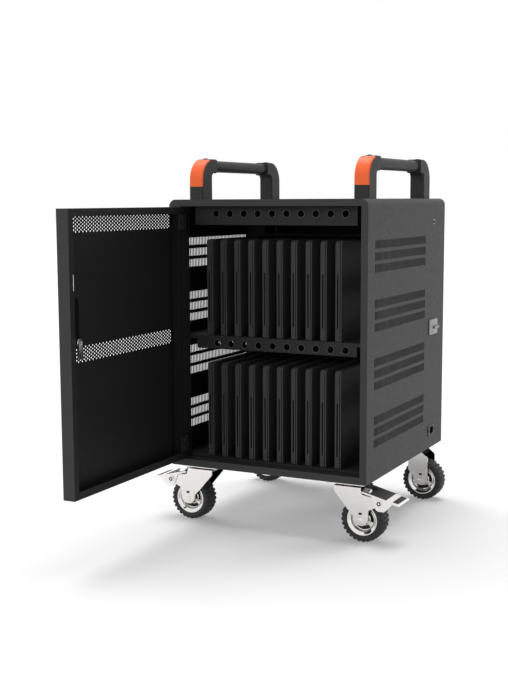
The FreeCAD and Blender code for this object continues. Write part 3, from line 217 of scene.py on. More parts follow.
class CabinetTrim(bpy.types.PropertyGroup):
    """Side lock and power inlet."""

    plate: length("Lock plate", "Thickness of the side lock's plate", 3.0)
    plate_corner: length("Plate corner", "Corner radius of that plate", 4.0)
    edge: length("Edge", "Rounding along the edges of the plate and the wing", 0.9)
    barrel: length("Barrel", "Radius of the lock's barrel", 9.0)
    bore: length("Bore", "Radius of the bore through plate and barrel", 6.06)
    shaft: length("Shaft", "Radius of the knob's shaft", 6.0)
    play: length("Play", "Gap between the plate and the wing", 0.3)
    wing: length("Wing", "Length of the knob's wing", 31.0)
    wing_width: length("Wing width", "Width of the wing", 7.0)
    wing_reach: length("Wing reach", "How far the wing stands off the plate", 4.0)
    flange: length("Inlet flange", "Thickness of the inlet's flange", 1.0)
    flange_corner: length("Flange corner", "Corner radius of the flange", 5.0)
    socket: length("Socket", "Length of the inlet's socket", 28.0)
    socket_rise: length("Socket height", "Height of that socket", 20.0)
    mouth: length("Mouth", "Length of the socket's mouth", 24.0)
    mouth_rise: length("Mouth height", "Height of the mouth", 17.0)
    mouth_depth: length("Mouth depth", "Depth of the mouth behind the panel's face", 14.0)
    mouth_corner: length("Mouth corner", "Cut across the mouth's corner", 2.0)
    blade: length("Blade", "Thickness of one contact blade", 2.0)
    blade_rise: length("Blade height", "Height of one blade", 4.0)
    blade_step: length("Blade step", "Distance between neighbouring blades", 7.0)
    blade_drop: length("Blade drop", "From the panel's face in to the blades' tips", 6.0)
    blade_edge: length("Blade edge", "Rounding along a blade's edges", 0.4)
    blade_lift: length("Blade lift", "Offset of the blades from the mouth's middle", 2.0)
    bezel: length("Bezel", "Thickness of the inlet's bezel", 0.6)
    bezel_inset: length("Bezel inset", "From the flange's edge to the bezel", 1.5)
    screw: length("Screw", "Radius of the inlet's screw heads", 2.6)
    screw_margin: length("Screw margin", "From the flange's end to a screw", 6.0)


class CabinetStage(bpy.types.PropertyGroup):
    """Camera, floor and light."""

    lens: FloatProperty(name="Lens", description="Focal length", default=58.98, min=1.0, unit="CAMERA")
    place: FloatVectorProperty(
        name="Camera", description="Camera position", default=(1.1093, -2.28335, 0.7432), unit="LENGTH"
    )
    yaw: angle("Yaw", "Turn to the left", 26.894)
    pitch: angle("Pitch", "Tilt down", 7.419)
    roll: angle("Roll", "Roll", -0.269)
    floor: colour("Floor", "Colour of the floor to the eye", (0.74, 0.74, 0.74))
    bounce: colour("Floor bounce", "Colour of the floor as it lights the cabinet", (0.22, 0.22, 0.22))
    glow: colour("Floor glow", "What the floor shows of the white surroundings", (0.19, 0.19, 0.19))
    top: power("Top light", "Strength of the light from above", 2.4)
    key: power("Key light", "Strength of the key light", 2.8)
    front: power("Front light", "Strength of the front light", 2.4)
    left: power("Left light", "Strength of the left light", 1.3)
    sky: power("Sky", "Strength of the surrounding light", 0.22)


# Finishes


# Part of a noise's range that its values mostly fill
NOISE_LOW, NOISE_HIGH = 0.3, 0.7


def shader(name):
    """Tree and main shader of a new material, and the object coordinates."""
    if name in bpy.data.materials:
        raise ValueError("the name of this finish is taken: " + name)
    material = bpy.data.materials.new(name)
    material.use_nodes = True
    tree = material.node_tree
    return tree, tree.nodes["Principled BSDF"], new_node(tree, "TexCoord")


def new_node(tree, kind, values=()):
    """A node of a kind, with the values of some of its inputs."""
    node = tree.nodes.new("ShaderNode" + kind)
    for socket, value in dict(values).items():
        node.inputs[socket].default_value = value
    return node


def feed(tree, socket, source):
    """Lead an output to a socket, or set the socket's own value."""
    if isinstance(source, bpy.types.NodeSocket):
        tree.links.new(source, socket)
    else:
        socket.default_value = source


def math_step(tree, kind, operation, *sources):
    """Output of a calculation with sockets or fixed values."""
    node = new_node(tree, kind)
    node.operation = operation
    for socket, source in zip(node.inputs, sources):
        feed(tree, socket, source)
    return node.outputs[0]


def colour_mix(tree, factor, first, second):
    """Colour between two others, by a factor."""
    mix = new_node(tree, "Mix")
    mix.data_type = "RGBA"
    for name, source in (("Factor", factor), ("A", first), ("B", second)):
        feed(tree, mix.inputs[name], source)
    return mix.outputs["Result"]


def noise(tree, place, scale, detail=3.0):
    """Cloudy pattern over an object's surface."""
    node = new_node(tree, "TexNoise", {"Scale": scale, "Detail": detail})
    tree.links.new(place.outputs["Object"], node.inputs["Vector"])
    return node


def spread(tree, source, low, high, socket):
    """Map a noise to a range of values on a socket."""
    span = {"From Min": NOISE_LOW, "From Max": NOISE_HIGH, "To Min": low, "To Max": high}
    node = new_node(tree, "MapRange", span)
    tree.links.new(source.outputs["Fac"], node.inputs["Value"])
    tree.links.new(node.outputs["Result"], socket)


def tint(tree, source, base, swing, socket):
    """Let the colour swing a little lighter and darker over the surface."""
    ramp = new_node(tree, "ValToRGB")
    first, last = ramp.color_ramp.elements
    first.position, last.position = NOISE_LOW, NOISE_HIGH
    first.color = (*[channel * (1 - swing) for channel in base], 1)
    last.color = (*[min(channel * (1 + swing), 1) for channel in base], 1)
    tree.links.new(source.outputs["Fac"], ramp.inputs["Fac"])
    tree.links.new(ramp.outputs["Color"], socket)


def relief(tree, source, strength, depth, surface):
    """Fine relief of a finish, too small to model."""
    bump = new_node(tree, "Bump", {"Strength": strength, "Distance": depth})
    tree.links.new(source.outputs["Fac"], bump.inputs["Height"])
    tree.links.new(bump.outputs["Normal"], surface.inputs["Normal"])


def within_box(tree, place, low, high):
    """One where a point of the surface lies inside a box, and none outside it."""
    offset = math_step(tree, "VectorMath", "SUBTRACT", place.outputs["Object"], (low + high) / 2)
    reach = math_step(tree, "VectorMath", "ABSOLUTE", offset)
    depth = math_step(tree, "VectorMath", "SUBTRACT", (high - low) / 2, reach)
    parts = new_node(tree, "SeparateXYZ")
    tree.links.new(depth, parts.inputs["Vector"])
    least = parts.outputs["X"]
    for axis in ("Y", "Z"):
        least = math_step(tree, "Math", "MINIMUM", least, parts.outputs[axis])
    return math_step(tree, "Math", "GREATER_THAN", least, 0.0)


def paint_shade_inside(tree, surface, place, painted_shade, low, high):
    """Paint the faces inside a box darker, as painted shade."""
    socket = surface.inputs["Base Color"]
    outside = socket.links[0].from_socket
    tint(tree, noise(tree, place, scale=30.0, detail=5.0), painted_shade, 0.05, socket)
    inside = socket.links[0].from_socket
    tree.links.new(colour_mix(tree, within_box(tree, place, low, high), outside, inside), socket)


def shade_lined_coating(name, base, painted_shade, node, inward):
    """Powder coat of a piece whose faces within its outer skin are painted darker, as painted shade of the
    inside.
    """
    tree, surface, place = coating(name, base)
    skin = Vector((SHADE_SKIN_DEPTH, SHADE_SKIN_DEPTH, SHADE_SKIN_DEPTH))
    low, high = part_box(node)
    low, high = low + skin, high - skin
    beyond = Vector(inward)
    low, high = [Vector(map(pick, low, high, low + beyond, high + beyond)) for pick in (min, max)]
    paint_shade_inside(tree, surface, place, painted_shade, low, high)


def shade_lined_fork_plating(name, base, inside, node):
    """Plating of a fork that is painted dark between the legs: painted shade and painted reflection of the
    cabinet's dark underside.
    """
    tree, surface, place = plating(name, base)
    low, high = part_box(node)
    leg = Vector((0, FORK_LEGS[row_of(node)], 0))
    beyond = Vector((1, 0, 0))
    paint_shade_inside(tree, surface, place, inside, low + leg - beyond, high - leg + beyond)


def coating(name, base, rough=(0.5, 0.6), grain=1100.0, swing=0.03, strength=0.14, gloss=0.2):
    """Fine textured powder coat, or a moulded plastic with a spark-eroded grain."""
    tree, surface, place = shader(name)
    tint(tree, noise(tree, place, scale=30.0, detail=5.0), base, swing, surface.inputs["Base Color"])
    spread(tree, noise(tree, place, scale=140.0), *rough, surface.inputs["Roughness"])
    relief(tree, noise(tree, place, scale=grain, detail=2.0), strength, 0.2 * MM, surface)
    surface.inputs["Specular IOR Level"].default_value = gloss
    return tree, surface, place


def plating(name, base, rough=(0.07, 0.14), swing=0.02):
    """Bright plated steel with faint drawn marks and smudges."""
    tree, surface, place = shader(name)
    tint(tree, noise(tree, place, scale=45.0), base, swing, surface.inputs["Base Color"])
    spread(tree, noise(tree, place, scale=90.0, detail=5.0), *rough, surface.inputs["Roughness"])
    relief(tree, noise(tree, place, scale=480.0), 0.02, 0.1 * MM, surface)
    surface.inputs["Metallic"].default_value = 1.0
    return tree, surface, place


def rubber(name, base):
    """Moulded rubber, dull and a little dusty."""
    tree, surface, place = shader(name)
    tint(tree, noise(tree, place, scale=60.0), base, 0.2, surface.inputs["Base Color"])
    spread(tree, noise(tree, place, scale=90.0), 0.6, 0.8, surface.inputs["Roughness"])
    relief(tree, noise(tree, place, scale=900.0), 0.3, 0.3 * MM, surface)


def finish(name):
    """The material of a finish."""
    return bpy.data.materials[name]


NODE_FINISHES = {
    "steel": ("left_side_panel", "right_side_panel", "top_cover", "base_plate"),
    "front_frame_steel": ("front_frame",),
    "back_frame_steel": ("back_frame",),
    "front_door_steel": ("front_door_panel", "door_vent_upper", "door_vent_lower"),
    "rear_door_steel": ("rear_door_panel",),
    # Painted shade: pieces inside the cabinet get the darker inside coat
    "inside_steel": (
        "lower_shelf", "upper_shelf", "upper_port_panel", "lower_port_panel", "inner_partition",
        "door_hinge_arms", "door_hinge_brackets", "rear_hinge_arms", "rear_hinge_brackets", "rear_door_catch",
    ),
    "divider_moulding": ("lower_dividers", "upper_dividers"),
    "handle_moulding": tuple(
        side + part for side in SIDES for part in ("_handle_front_post", "_handle_rear_post", "_handle_bar")
    ),
    "inlay_plastic": ("left_handle_inlay", "right_handle_inlay"),
    "black_plastic": ("power_inlet", "upper_socket_strip", "lower_socket_strip"),
    "housing_plastic": ("door_lock_housing",),
    "satin_metal": ("side_lock_housing", "side_lock_knob", "side_lock_cam"),
    "tyre_compound": tuple(corner + "_tyre" for corner in CORNERS),
    "pedal_plating": ("front_left_brake_pedal", "front_right_brake_pedal"),
    "plate_plating": ("caster_plates",),
    **{corner + "_fork_zinc": (corner + "_fork",) for corner in CORNERS},
}


class CABINET_OT_finishes(bpy.types.Operator):
    """Make every finish and put it on the frame's pieces"""

    bl_idname = "cabinet.finishes"
    bl_label = "Finishes"

    def execute(self, context):
        colours = context.scene.cabinet_finishes
        coating("steel", colours.steel)
        # Painted shade: the inner faces of the frames and doors are painted darker than their outside
        shade_lined_coating("front_frame_steel", colours.steel, colours.inside, "front_frame", (0, 1, 0))
        shade_lined_coating("back_frame_steel", colours.steel, colours.painted_shade, "back_frame", (0, -1, 0))
        shade_lined_coating("front_door_steel", colours.steel, colours.painted_shade, "front_door_panel", (1, 0, 0))
        shade_lined_coating("rear_door_steel", colours.steel, colours.painted_shade, "rear_door_panel", (0, -1, 0))
        # Painted shade: darker coat for the pieces inside the cabinet
        coating("inside_steel", colours.inside)
        coating("lining_steel", colours.painted_shade)
        coating("divider_moulding", colours.divider, rough=(0.45, 0.55), grain=1500.0)
        coating("handle_moulding", colours.handle, rough=(0.42, 0.52), grain=1400.0, gloss=0.1)
        coating("inlay_plastic", colours.inlay, rough=(0.30, 0.40), grain=1400.0)
        coating("black_plastic", colours.black, rough=(0.24, 0.36), grain=1600.0)
        coating("housing_plastic", colours.housing, rough=(0.5, 0.6), grain=1600.0, gloss=0.05)
        coating("bezel_plastic", colours.bezel, rough=(0.45, 0.55), grain=1600.0)
        coating("grey_plastic", colours.grey, rough=(0.45, 0.6), grain=700.0, swing=0.08)
        plating("zinc_plating", colours.zinc)
        plating("pedal_plating", colours.pedal, rough=(0.5, 0.62))
        plating("plate_plating", colours.zinc_shade, rough=(0.3, 0.45))
        for corner in CORNERS:
            shade_lined_fork_plating(corner + "_fork_zinc", colours.zinc, colours.zinc_shade, corner + "_fork")
        plating("satin_metal", colours.lock, rough=(0.28, 0.40))
        rubber("tyre_compound", colours.tyre)
        named = {node: name for name, members in NODE_FINISHES.items() for node in members}
        for node, piece in frame["nodes"].items():
            piece.data.materials.clear()
            piece.data.materials.append(finish(named.get(node, "zinc_plating")))
        return {"FINISHED"}


# Mesh helpers, in metres


def loop(bm, points):
    """Edges of one closed loop of points."""
    corners = [bm.verts.new(point) for point in points]
    return [bm.edges.new((corners[index - 1], corner)) for index, corner in enumerate(corners)]


def rectangle(a_low, b_low, a_high, b_high):
    """Rectangle between its lower and its upper corner."""
    return [(a_low, b_low), (a_high, b_low), (a_high, b_high), (a_low, b_high)]


def side_outline(low, high):
    """Outline of a box as seen from the side."""
    return rectangle(low.y, low.z, high.y, high.z)


def centred(a, b, a_size, b_size):
    """Rectangle of a size round its middle."""
    return rectangle(a - a_size / 2, b - b_size / 2, a + a_size / 2, b + b_size / 2)


def clipped(points, cut):
    """Rectangle with its corners cut off."""
    (a_low, b_low), (a_high, b_high) = points[0], points[2]
    return [
        (a_low + cut, b_low), (a_high - cut, b_low), (a_high, b_low + cut), (a_high, b_high - cut),
        (a_high - cut, b_high), (a_low + cut, b_high), (a_low, b_high - cut), (a_low, b_low + cut),
    ]


def arc(a, b, radius, first, last, steps):
    """Points of an arc, from one angle to another in degrees."""
    turns = [math.radians(first + (last - first) * step / steps) for step in range(steps + 1)]
    return [(a + radius * math.cos(turn), b + radius * math.sin(turn)) for turn in turns]


def rounded(points, radius, steps=6):
    """Rectangle with round corners."""
    (a_low, b_low), (a_high, b_high) = points[0], points[2]
    middles = rectangle(a_low + radius, b_low + radius, a_high - radius, b_high - radius)
    starts = (180, 270, 0, 90)
    return [
        spot
        for middle, start in zip(middles, starts)
        for spot in arc(*middle, radius, start, start + 90, steps)
    ]


def ring_points(a, b, radius, steps, start=0.0):
    """Points round a circle."""
    turns = [start + 2 * math.pi * step / steps for step in range(steps)]
    return [(a + radius * math.cos(turn), b + radius * math.sin(turn)) for turn in turns]


def sheet(outline, holes, thickness):
    """Flat sheet with holes, from height zero up to its thickness."""
    bm = bmesh.new()
    edges = []
    for points in [outline] + holes:
        edges += loop(bm, [(a, b, 0.0) for a, b in points])
    bmesh.ops.triangle_fill(bm, use_beauty=True, use_dissolve=False, edges=edges)
    raised = bmesh.ops.extrude_face_region(bm, geom=bm.faces[:])["geom"]
    for vert in raised:
        if isinstance(vert, bmesh.types.BMVert):
            vert.co.z += thickness
    bmesh.ops.recalc_face_normals(bm, faces=bm.faces[:])
    return bm


def plain_slab(outline, thickness):
    """Flat slab without holes, whose upper and lower face are one face each."""
    bm = sheet(outline, [], thickness)
    bmesh.ops.dissolve_limit(
        bm, angle_limit=FLAT_ANGLE, verts=bm.verts[:], edges=bm.edges[:], use_dissolve_boundaries=False
    )
    return bm


def pressed_plate(outline, thickness, edge):
    """Flat plate whose upper rim is rounded."""
    bm = plain_slab(outline, thickness)
    rims = [rim for rim in bm.edges if min(vert.co.z for vert in rim.verts) > thickness / 2]
    bmesh.ops.bevel(bm, geom=rims, offset=edge, segments=3, profile=0.5, affect="EDGES")
    return bm


def lathe(bm, profile, steps, place, closed=True):
    """Turn a profile of (radius, height) points round Z and put it in its place."""
    rings = []
    for radius, height in profile:
        if radius < TINY:
            rings.append([bm.verts.new(place @ Vector((0.0, 0.0, height)))] * steps)
            continue
        points = ring_points(0.0, 0.0, radius, steps)
        rings.append([bm.verts.new(place @ Vector((a, b, height))) for a, b in points])
    pairs = list(zip(rings, rings[1:]))
    if closed:
        pairs.append((rings[-1], rings[0]))
    for lower, upper in pairs:
        for step in range(steps):
            after = (step + 1) % steps
            corners = [lower[step], lower[after], upper[after], upper[step]]
            corners = [vert for index, vert in enumerate(corners) if vert not in corners[:index]]
            if len(corners) > 2:
                bm.faces.new(corners)


def in_mm(profile):
    """Points in millimetres, turned into metres."""
    return [tuple(mm(*point)) for point in profile]


def both_ways(profile):
    """Profile of one half, given in millimetres, with its mirror image."""
    return in_mm([(radius, -height) for radius, height in profile] + profile[::-1])


def along(axis, centre):
    """Matrix that lays the Z axis along a direction at a point."""
    turn = Vector(axis).to_track_quat("Z", "Y").to_matrix().to_4x4()
    return Matrix.Translation(Vector(centre)) @ turn


def upright(centre):
    """Matrix that stands a flat outline up to face the front."""
    return Matrix.Translation(Vector(centre)) @ Matrix.Rotation(math.pi / 2, 4, "X")


def mesh_of(name, bm):
    """Turn a mesh that is being edited into a finished one."""
    mesh = bpy.data.meshes.new(name)
    bm.to_mesh(mesh)
    bm.free()
    return mesh


def added(name, data):
    """New object in the scene."""
    made = bpy.data.objects.new(name, data)
    bpy.context.scene.collection.objects.link(made)
    return made


def merged(bm, other, place=Matrix()):
    """Add another mesh to this one and free it."""
    mesh = mesh_of("part", other)
    mesh.transform(place)
    bm.from_mesh(mesh)
    bpy.data.meshes.remove(mesh)


def block(low, high, edge):
    """Block with softened edges between two corners."""
    bm = bmesh.new()
    size = Vector(high) - Vector(low)
    middle = (Vector(high) + Vector(low)) / 2
    bmesh.ops.create_cube(bm, size=1.0, matrix=Matrix.Translation(middle) @ Matrix.Diagonal((*size, 1.0)))
    if edge:
        bmesh.ops.bevel(bm, geom=bm.edges[:], offset=edge, segments=2, profile=0.5, affect="EDGES")
    return bm


def carved(solid, cutter):
    """Cut one mesh out of another and hand back the result."""
    made = [added(name, mesh_of(name, bm)) for name, bm in (("solid", solid), ("cutter", cutter))]
    cut = made[0].modifiers.new("cut", "BOOLEAN")
    cut.operation = "DIFFERENCE"
    cut.solver = "EXACT"
    cut.object = made[1]
    result = bmesh.new()
    result.from_object(made[0], bpy.context.evaluated_depsgraph_get())
    for item in made:
        mesh = item.data
        bpy.data.objects.remove(item)
        bpy.data.meshes.remove(mesh)
    return result


# How far a face has to turn inward to get the painted shade of the inside
INWARD_SHARE = 0.5


def piece(name, bm, material, body, replaced=(), inward=None):
    """Make an object of a mesh, shade it, give it its finish and let it ride on its body.

    Faces that look inward, where a direction is given, get the darker painted shade of the inside.
    """
    bmesh.ops.recalc_face_normals(bm, faces=bm.faces[:])
    for face in bm.faces:
        face.smooth = True
        if inward and face.normal.dot(inward) > INWARD_SHARE:
            face.material_index = 1
    for edge in bm.edges:
        edge.smooth = len(edge.link_faces) == 2 and edge.calc_face_angle(0.0) < SHARP_ANGLE
    mesh = mesh_of(name, bm)
    mesh.materials.append(finish(material))
    if inward:
        mesh.materials.append(finish("lining_steel"))
    made = added(name, mesh)
    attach(made, body)
    if replaced:
        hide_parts(*replaced)


def facing_right(bm, x):
    """Turn a flat sheet so that its thickness runs along X from a plane."""
    for vert in bm.verts:
        vert.co = (x + vert.co.z, vert.co.x, vert.co.y)


def side_sheet(outline, holes, start, end):
    """Sheet with holes that faces right, from one plane across X to another."""
    bm = sheet(outline, holes, end - start)
    facing_right(bm, start)
    return bm


# Sheet-metal pieces with their full patterns


def vent_slits(vents, low):
    """Outlines of all the slits of a side panel."""
    slits = []
    pitch = (vents.reach - vents.slit) / (vents.slits - 1)
    for group in range(vents.groups):
        for row in range(vents.rows):
            bottom = low.z + vents.low + group * vents.group_pitch + row * vents.row_pitch
            for slit in range(vents.slits):
                start = low.y + vents.front + slit * pitch
                outline = rectangle(start, bottom, start + vents.slit, bottom + vents.row_height)
                slits.append(clipped(outline, vents.slit_corner))
    return slits


def security_slot(vents):
    """Middle of the security slot in the right side panel."""
    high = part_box("right_side_panel")[1]
    return high.y - vents.slot_back, high.z - vents.slot_drop


def inlet_middle():
    """Middle of the power inlet in the right side panel."""
    low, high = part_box("power_inlet")
    return (low.y + high.y) / 2, (low.z + high.z) / 2


def side_openings(vents):
    """Openings of the right side panel behind the lock, the inlet and the security slot."""
    axis = JOINTS["side_lock_turn"]["pos_m"]
    slot = centred(*security_slot(vents), vents.slot_reach, vents.slot_rise)
    return [
        ring_points(axis[1], axis[2], vents.lock_hole, 24),
        centred(*inlet_middle(), vents.inlet_hole, vents.inlet_hole_rise),
        clipped(slot, vents.slot_corner),
    ]


class CABINET_OT_side_panels(bpy.types.Operator):
    """Side panels with their full rows of vent slits"""

    bl_idname = "cabinet.side_panels"
    bl_label = "Side panels"

    def execute(self, context):
        vents = context.scene.cabinet_vents
        for side in SIDES:
            node = side + "_side_panel"
            low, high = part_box(node)
            holes = vent_slits(vents, low)
            if side == "right":
                holes += side_openings(vents)
            bm = side_sheet(side_outline(low, high), holes, low.x, high.x)
            # Painted shade: faces turned inward get the darker coat
            inward = Vector((-1 if side == "right" else 1, 0, 0))
            piece(side + "_vented_panel", bm, "steel", "cabinet", [node], inward)
        return {"FINISHED"}


# Corners of a hole that stand for its round
HOLE_STEPS = 8


def strip_holes(vents, low, high):
    """Staggered round holes over the whole of a door strip."""
    row_step = vents.hole_step / 2
    column_step = vents.hole_step * math.sqrt(3)
    rows = int((high.z - low.z - vents.hole) / row_step) + 1
    columns = int((high.y - low.y - vents.hole - column_step / 2) / column_step) + 1
    start_y = (low.y + high.y - (columns - 0.5) * column_step) / 2
    start_z = (low.z + high.z - (rows - 1) * row_step) / 2
    holes = []
    for row in range(rows):
        shift = 0.5 * column_step * (row % 2)
        for column in range(columns):
            spot = (start_y + shift + column * column_step, start_z + row * row_step)
            holes.append(ring_points(*spot, vents.hole / 2, HOLE_STEPS, math.pi / HOLE_STEPS))
    return holes


class CABINET_OT_door_strips(bpy.types.Operator):
    """Perforated strips of the front door with every hole"""

    bl_idname = "cabinet.door_strips"
    bl_label = "Door strips"

    def execute(self, context):
        vents = context.scene.cabinet_vents
        for level in ("upper", "lower"):
            node = "door_vent_" + level
            low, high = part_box(node)
            holes = strip_holes(vents, low, high)
            bm = side_sheet(side_outline(low, high), holes, high.x - vents.strip_sheet, high.x)
            # Painted shade: the strips share the door's coat, whose faces within its skin are painted darker
            piece("door_strip_" + level, bm, "front_door_steel", "front_door", [node])
        return {"FINISHED"}


# Inside


# Ends of the slot in a divider's front edge, as shares of its height
SLOT_FROM, SLOT_TO = 0.13, 0.67


def divider_mesh(sizes, depth, height):
    """One divider with a rounded outline, its front slot and its parting groove, front face at Y zero."""
    top = sizes.corner
    foot = sizes.corner / 2
    outline = [(depth, 0.0), (depth, height)]
    outline += arc(top, height - top, top, 90, 180, 6)
    outline += arc(foot, foot, foot, 180, 270, 6)
    bm = plain_slab(outline, sizes.width)
    rims = [edge for edge in bm.edges if len(edge.link_faces) == 2 and edge.calc_face_angle(0.0) > RIM_ANGLE]
    rims = [edge for edge in rims if abs(edge.verts[0].co.z - edge.verts[1].co.z) < TINY]
    bmesh.ops.bevel(bm, geom=rims, offset=sizes.edge, segments=2, profile=0.5, affect="EDGES")
    for vert in bm.verts:
        vert.co = (vert.co.z - sizes.width / 2, vert.co.x, vert.co.y)
    beyond = 1 * MM
    slot_low = (-sizes.slot, -beyond, SLOT_FROM * height)
    cutter = block(slot_low, (0.0, sizes.slot_depth, SLOT_TO * height), 0.0)
    seam_low = (sizes.seam_offset, -beyond, -beyond)
    seam_high = (sizes.seam_offset + sizes.seam, sizes.seam_depth, height + beyond)
    merged(cutter, block(seam_low, seam_high, 0.0))
    return carved(bm, cutter)


class CABINET_OT_dividers(bpy.types.Operator):
    """Moulded dividers on both shelves"""

    bl_idname = "cabinet.dividers"
    bl_label = "Dividers"

    def execute(self, context):
        sizes = context.scene.cabinet_dividers
        for level in ("lower", "upper"):
            node = level + "_dividers"
            low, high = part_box(node)
            one = divider_mesh(sizes, high.y - low.y, high.z - low.z)
            pitch = (high.x - low.x - sizes.width) / (sizes.count - 1)
            bm = bmesh.new()
            for index in range(sizes.count):
                spot = Vector((low.x + sizes.width / 2 + index * pitch, low.y, low.z))
                merged(bm, one.copy(), Matrix.Translation(spot))
            one.free()
            piece(level + "_divider_row", bm, "divider_moulding", "cabinet", [node])
        return {"FINISHED"}


# Sections of a port: the moulded collar, and the dark sleeve in the hole with a black ring round the collar,
# painted shadow of its edge
PORT_COLLAR = in_mm([(7.7, 0.0), (7.7, 1.2), (8.0, 1.6), (8.8, 1.6), (9.3, 1.2), (9.5, 0.4), (9.5, 0.0)])
PORT_SLEEVE = in_mm([(7.1, -18.0), (7.1, 1.0), (7.6, 1.0), (7.6, -18.0)])
PORT_SHADOW_RING = in_mm([(9.6, 0.0), (9.6, 0.3), (10.2, 0.5), (11.2, 0.3), (11.2, 0.0)])
# Gap between the lower ports and the lip of the shelf over them
LIP_GAP = 0.1 * MM


class CABINET_OT_port_rims(bpy.types.Operator):
    """Collars, sleeves and painted shadow rings of the cable ports"""

    bl_idname = "cabinet.port_rims"
    bl_label = "Port rims"

    def execute(self, context):
        sizes = context.scene.cabinet_dividers
        low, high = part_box("lower_dividers")
        middle = (low.x + high.x) / 2
        shelf_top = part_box("upper_shelf")[1].z
        rows = {
            "upper": (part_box("top_cover")[1].z - sizes.upper_port_drop, math.inf),
            "lower": (shelf_top - sizes.lower_port_drop, shelf_top - sizes.shelf_lip - LIP_GAP),
        }
        for level, (height, ceiling) in rows.items():
            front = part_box(level + "_port_panel")[0].y
            for name, sections, material in (
                ("_port_rims", (PORT_COLLAR,), "bezel_plastic"),
                ("_port_sleeves", (PORT_SLEEVE, PORT_SHADOW_RING), "black_plastic"),
            ):
                bm = bmesh.new()
                for index in range(sizes.count):
                    x = middle + (index - (sizes.count - 1) / 2) * sizes.port_pitch + sizes.port_shift
                    for section in sections:
                        lathe(bm, section, 32, along((0, -1, 0), (x, front, height)))
                for vert in bm.verts:
                    vert.co.z = min(vert.co.z, ceiling)
                piece(level + name, bm, material, "cabinet")
        return {"FINISHED"}


# Face of a socket in millimetres: its slots as middle and size, and its round hole as middle and radius
SOCKET_SLOTS = ((-6.3, 3.0, 1.8, 8.0), (6.3, 3.2, 1.8, 6.4))
SOCKET_EARTH = (0.0, -6.2, 2.6)
SOCKET_CORNER, SOCKET_PLATE = mm(2.5, 1.2)


class CABINET_OT_sockets(bpy.types.Operator):
    """Faces of the sockets in the charger compartment"""

    bl_idname = "cabinet.sockets"
    bl_label = "Sockets"

    def execute(self, context):
        sizes = context.scene.cabinet_dividers
        side = 2 * sizes.socket_face
        outline = clipped(centred(0, 0, side, side), SOCKET_CORNER)
        holes = [centred(*mm(*slot)) for slot in SOCKET_SLOTS] + [ring_points(*mm(*SOCKET_EARTH), 16)]
        for level in ("lower", "upper"):
            low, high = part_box(level + "_socket_strip")
            height = (low.z + high.z) / 2
            pitch = (high.x - low.x) / sizes.sockets
            bm = bmesh.new()
            for index in range(sizes.sockets):
                face = sheet(outline, holes, SOCKET_PLATE)
                x = low.x + (index + 0.5) * pitch
                place = Matrix.Translation((x, high.y - sizes.socket_recess, height))
                place = place @ Matrix.Rotation(-math.pi / 2, 4, "X") @ Matrix.Scale(-1, 4, (0, 1, 0))
                merged(bm, face, place)
            piece(level + "_socket_faces", bm, "black_plastic", "cabinet")
        return {"FINISHED"}


# Casters


# Half section of the tyre: height over the seat, share of the half width, share of the gap
TYRE_SIDE = (
    (0.0, 0.84, 0.0), (1.6, 0.95, 0.0), (4.2, 0.985, 0.0), (7.0, 1.0, 0.15), (10.0, 0.99, 0.8),
    (12.6, 0.93, 1.0), (14.2, 0.80, 1.0), (15.0, 0.58, 1.0), (15.0, 0.22, 1.0), (15.0, 0.08, 0.5),
)
# Steps round one lug, the wave that its gap follows, and the share by which a gap narrows the tyre
LUG_STEPS = 10
LUG_WAVE, LUG_LIFT, LUG_START = 1.25, 0.1, 0.25
LUG_PINCH = 0.03


def lug_gap(phase):
    """Depth of the rounded gap between two lugs, from none to one, over one pitch."""
    return min(1.0, max(0.0, LUG_WAVE * math.cos(2 * math.pi * (phase - LUG_START)) + LUG_LIFT))


def tyre_mesh(sizes, centre):
    """Lugged tyre: a rounded carcass with scalloped shoulders, staggered from side to side."""
    half = sizes.tyre_width / 2
    scale = (sizes.radius - sizes.seat) / TYRE_SIDE[-1][0]
    left = [(sizes.seat + rise * scale, -part * half, cut, 0.0) for rise, part, cut in TYRE_SIDE]
    right = [(reach, -side, cut, 0.5) for reach, side, cut, stagger in reversed(left)]
    profile = left + right
    bm = bmesh.new()
    place = upright(centre)
    rings = []
    for step in range(sizes.lugs * LUG_STEPS):
        phase = step / LUG_STEPS
        turn = 2 * math.pi * phase / sizes.lugs
        ring = []
        for radius, side, cut, stagger in profile:
            gap = cut * lug_gap((phase - stagger) % 1.0)
            reach = radius - gap * sizes.lug_depth
            across = side * (1.0 - LUG_PINCH * gap)
            spot = Vector((reach * math.cos(turn), reach * math.sin(turn), across))
            ring.append(bm.verts.new(place @ spot))
        rings.append(ring)
    for index, ring in enumerate(rings):
        before = rings[index - 1]
        for step in range(len(profile)):
            after = (step + 1) % len(profile)
            bm.faces.new((before[step], before[after], ring[after], ring[step]))
    return bm


# Half sections of the rim's lipped ring and of its hub
RIM_RING = [
    (35.0, 18.6), (35.3, 19.4), (35.0, 20.2), (34.0, 20.6), (32.6, 20.4), (31.8, 19.9), (27.2, 17.2),
    (26.0, 16.2), (25.4, 15.0), (25.2, 12.5), (24.6, 11.8),
]
RIM_HUB = [(6.3, 22.9), (10.6, 23.4), (12.4, 22.4), (13.2, 19.5), (13.9, 10.0)]
# Radii and half thickness of the rim's web, and the start, half width, half depth and edge of a spoke on it
WEB_OUTER, WEB_BORE, WEB_HALF = mm(25.0, 12.0, 7.0)
SPOKE_START, SPOKE_HALF, SPOKE_RISE, SPOKE_EDGE = mm(11.5, 3.4, 9.0, 1.4)
# Direction of the first spoke in degrees
FIRST_SPOKE = -32.0


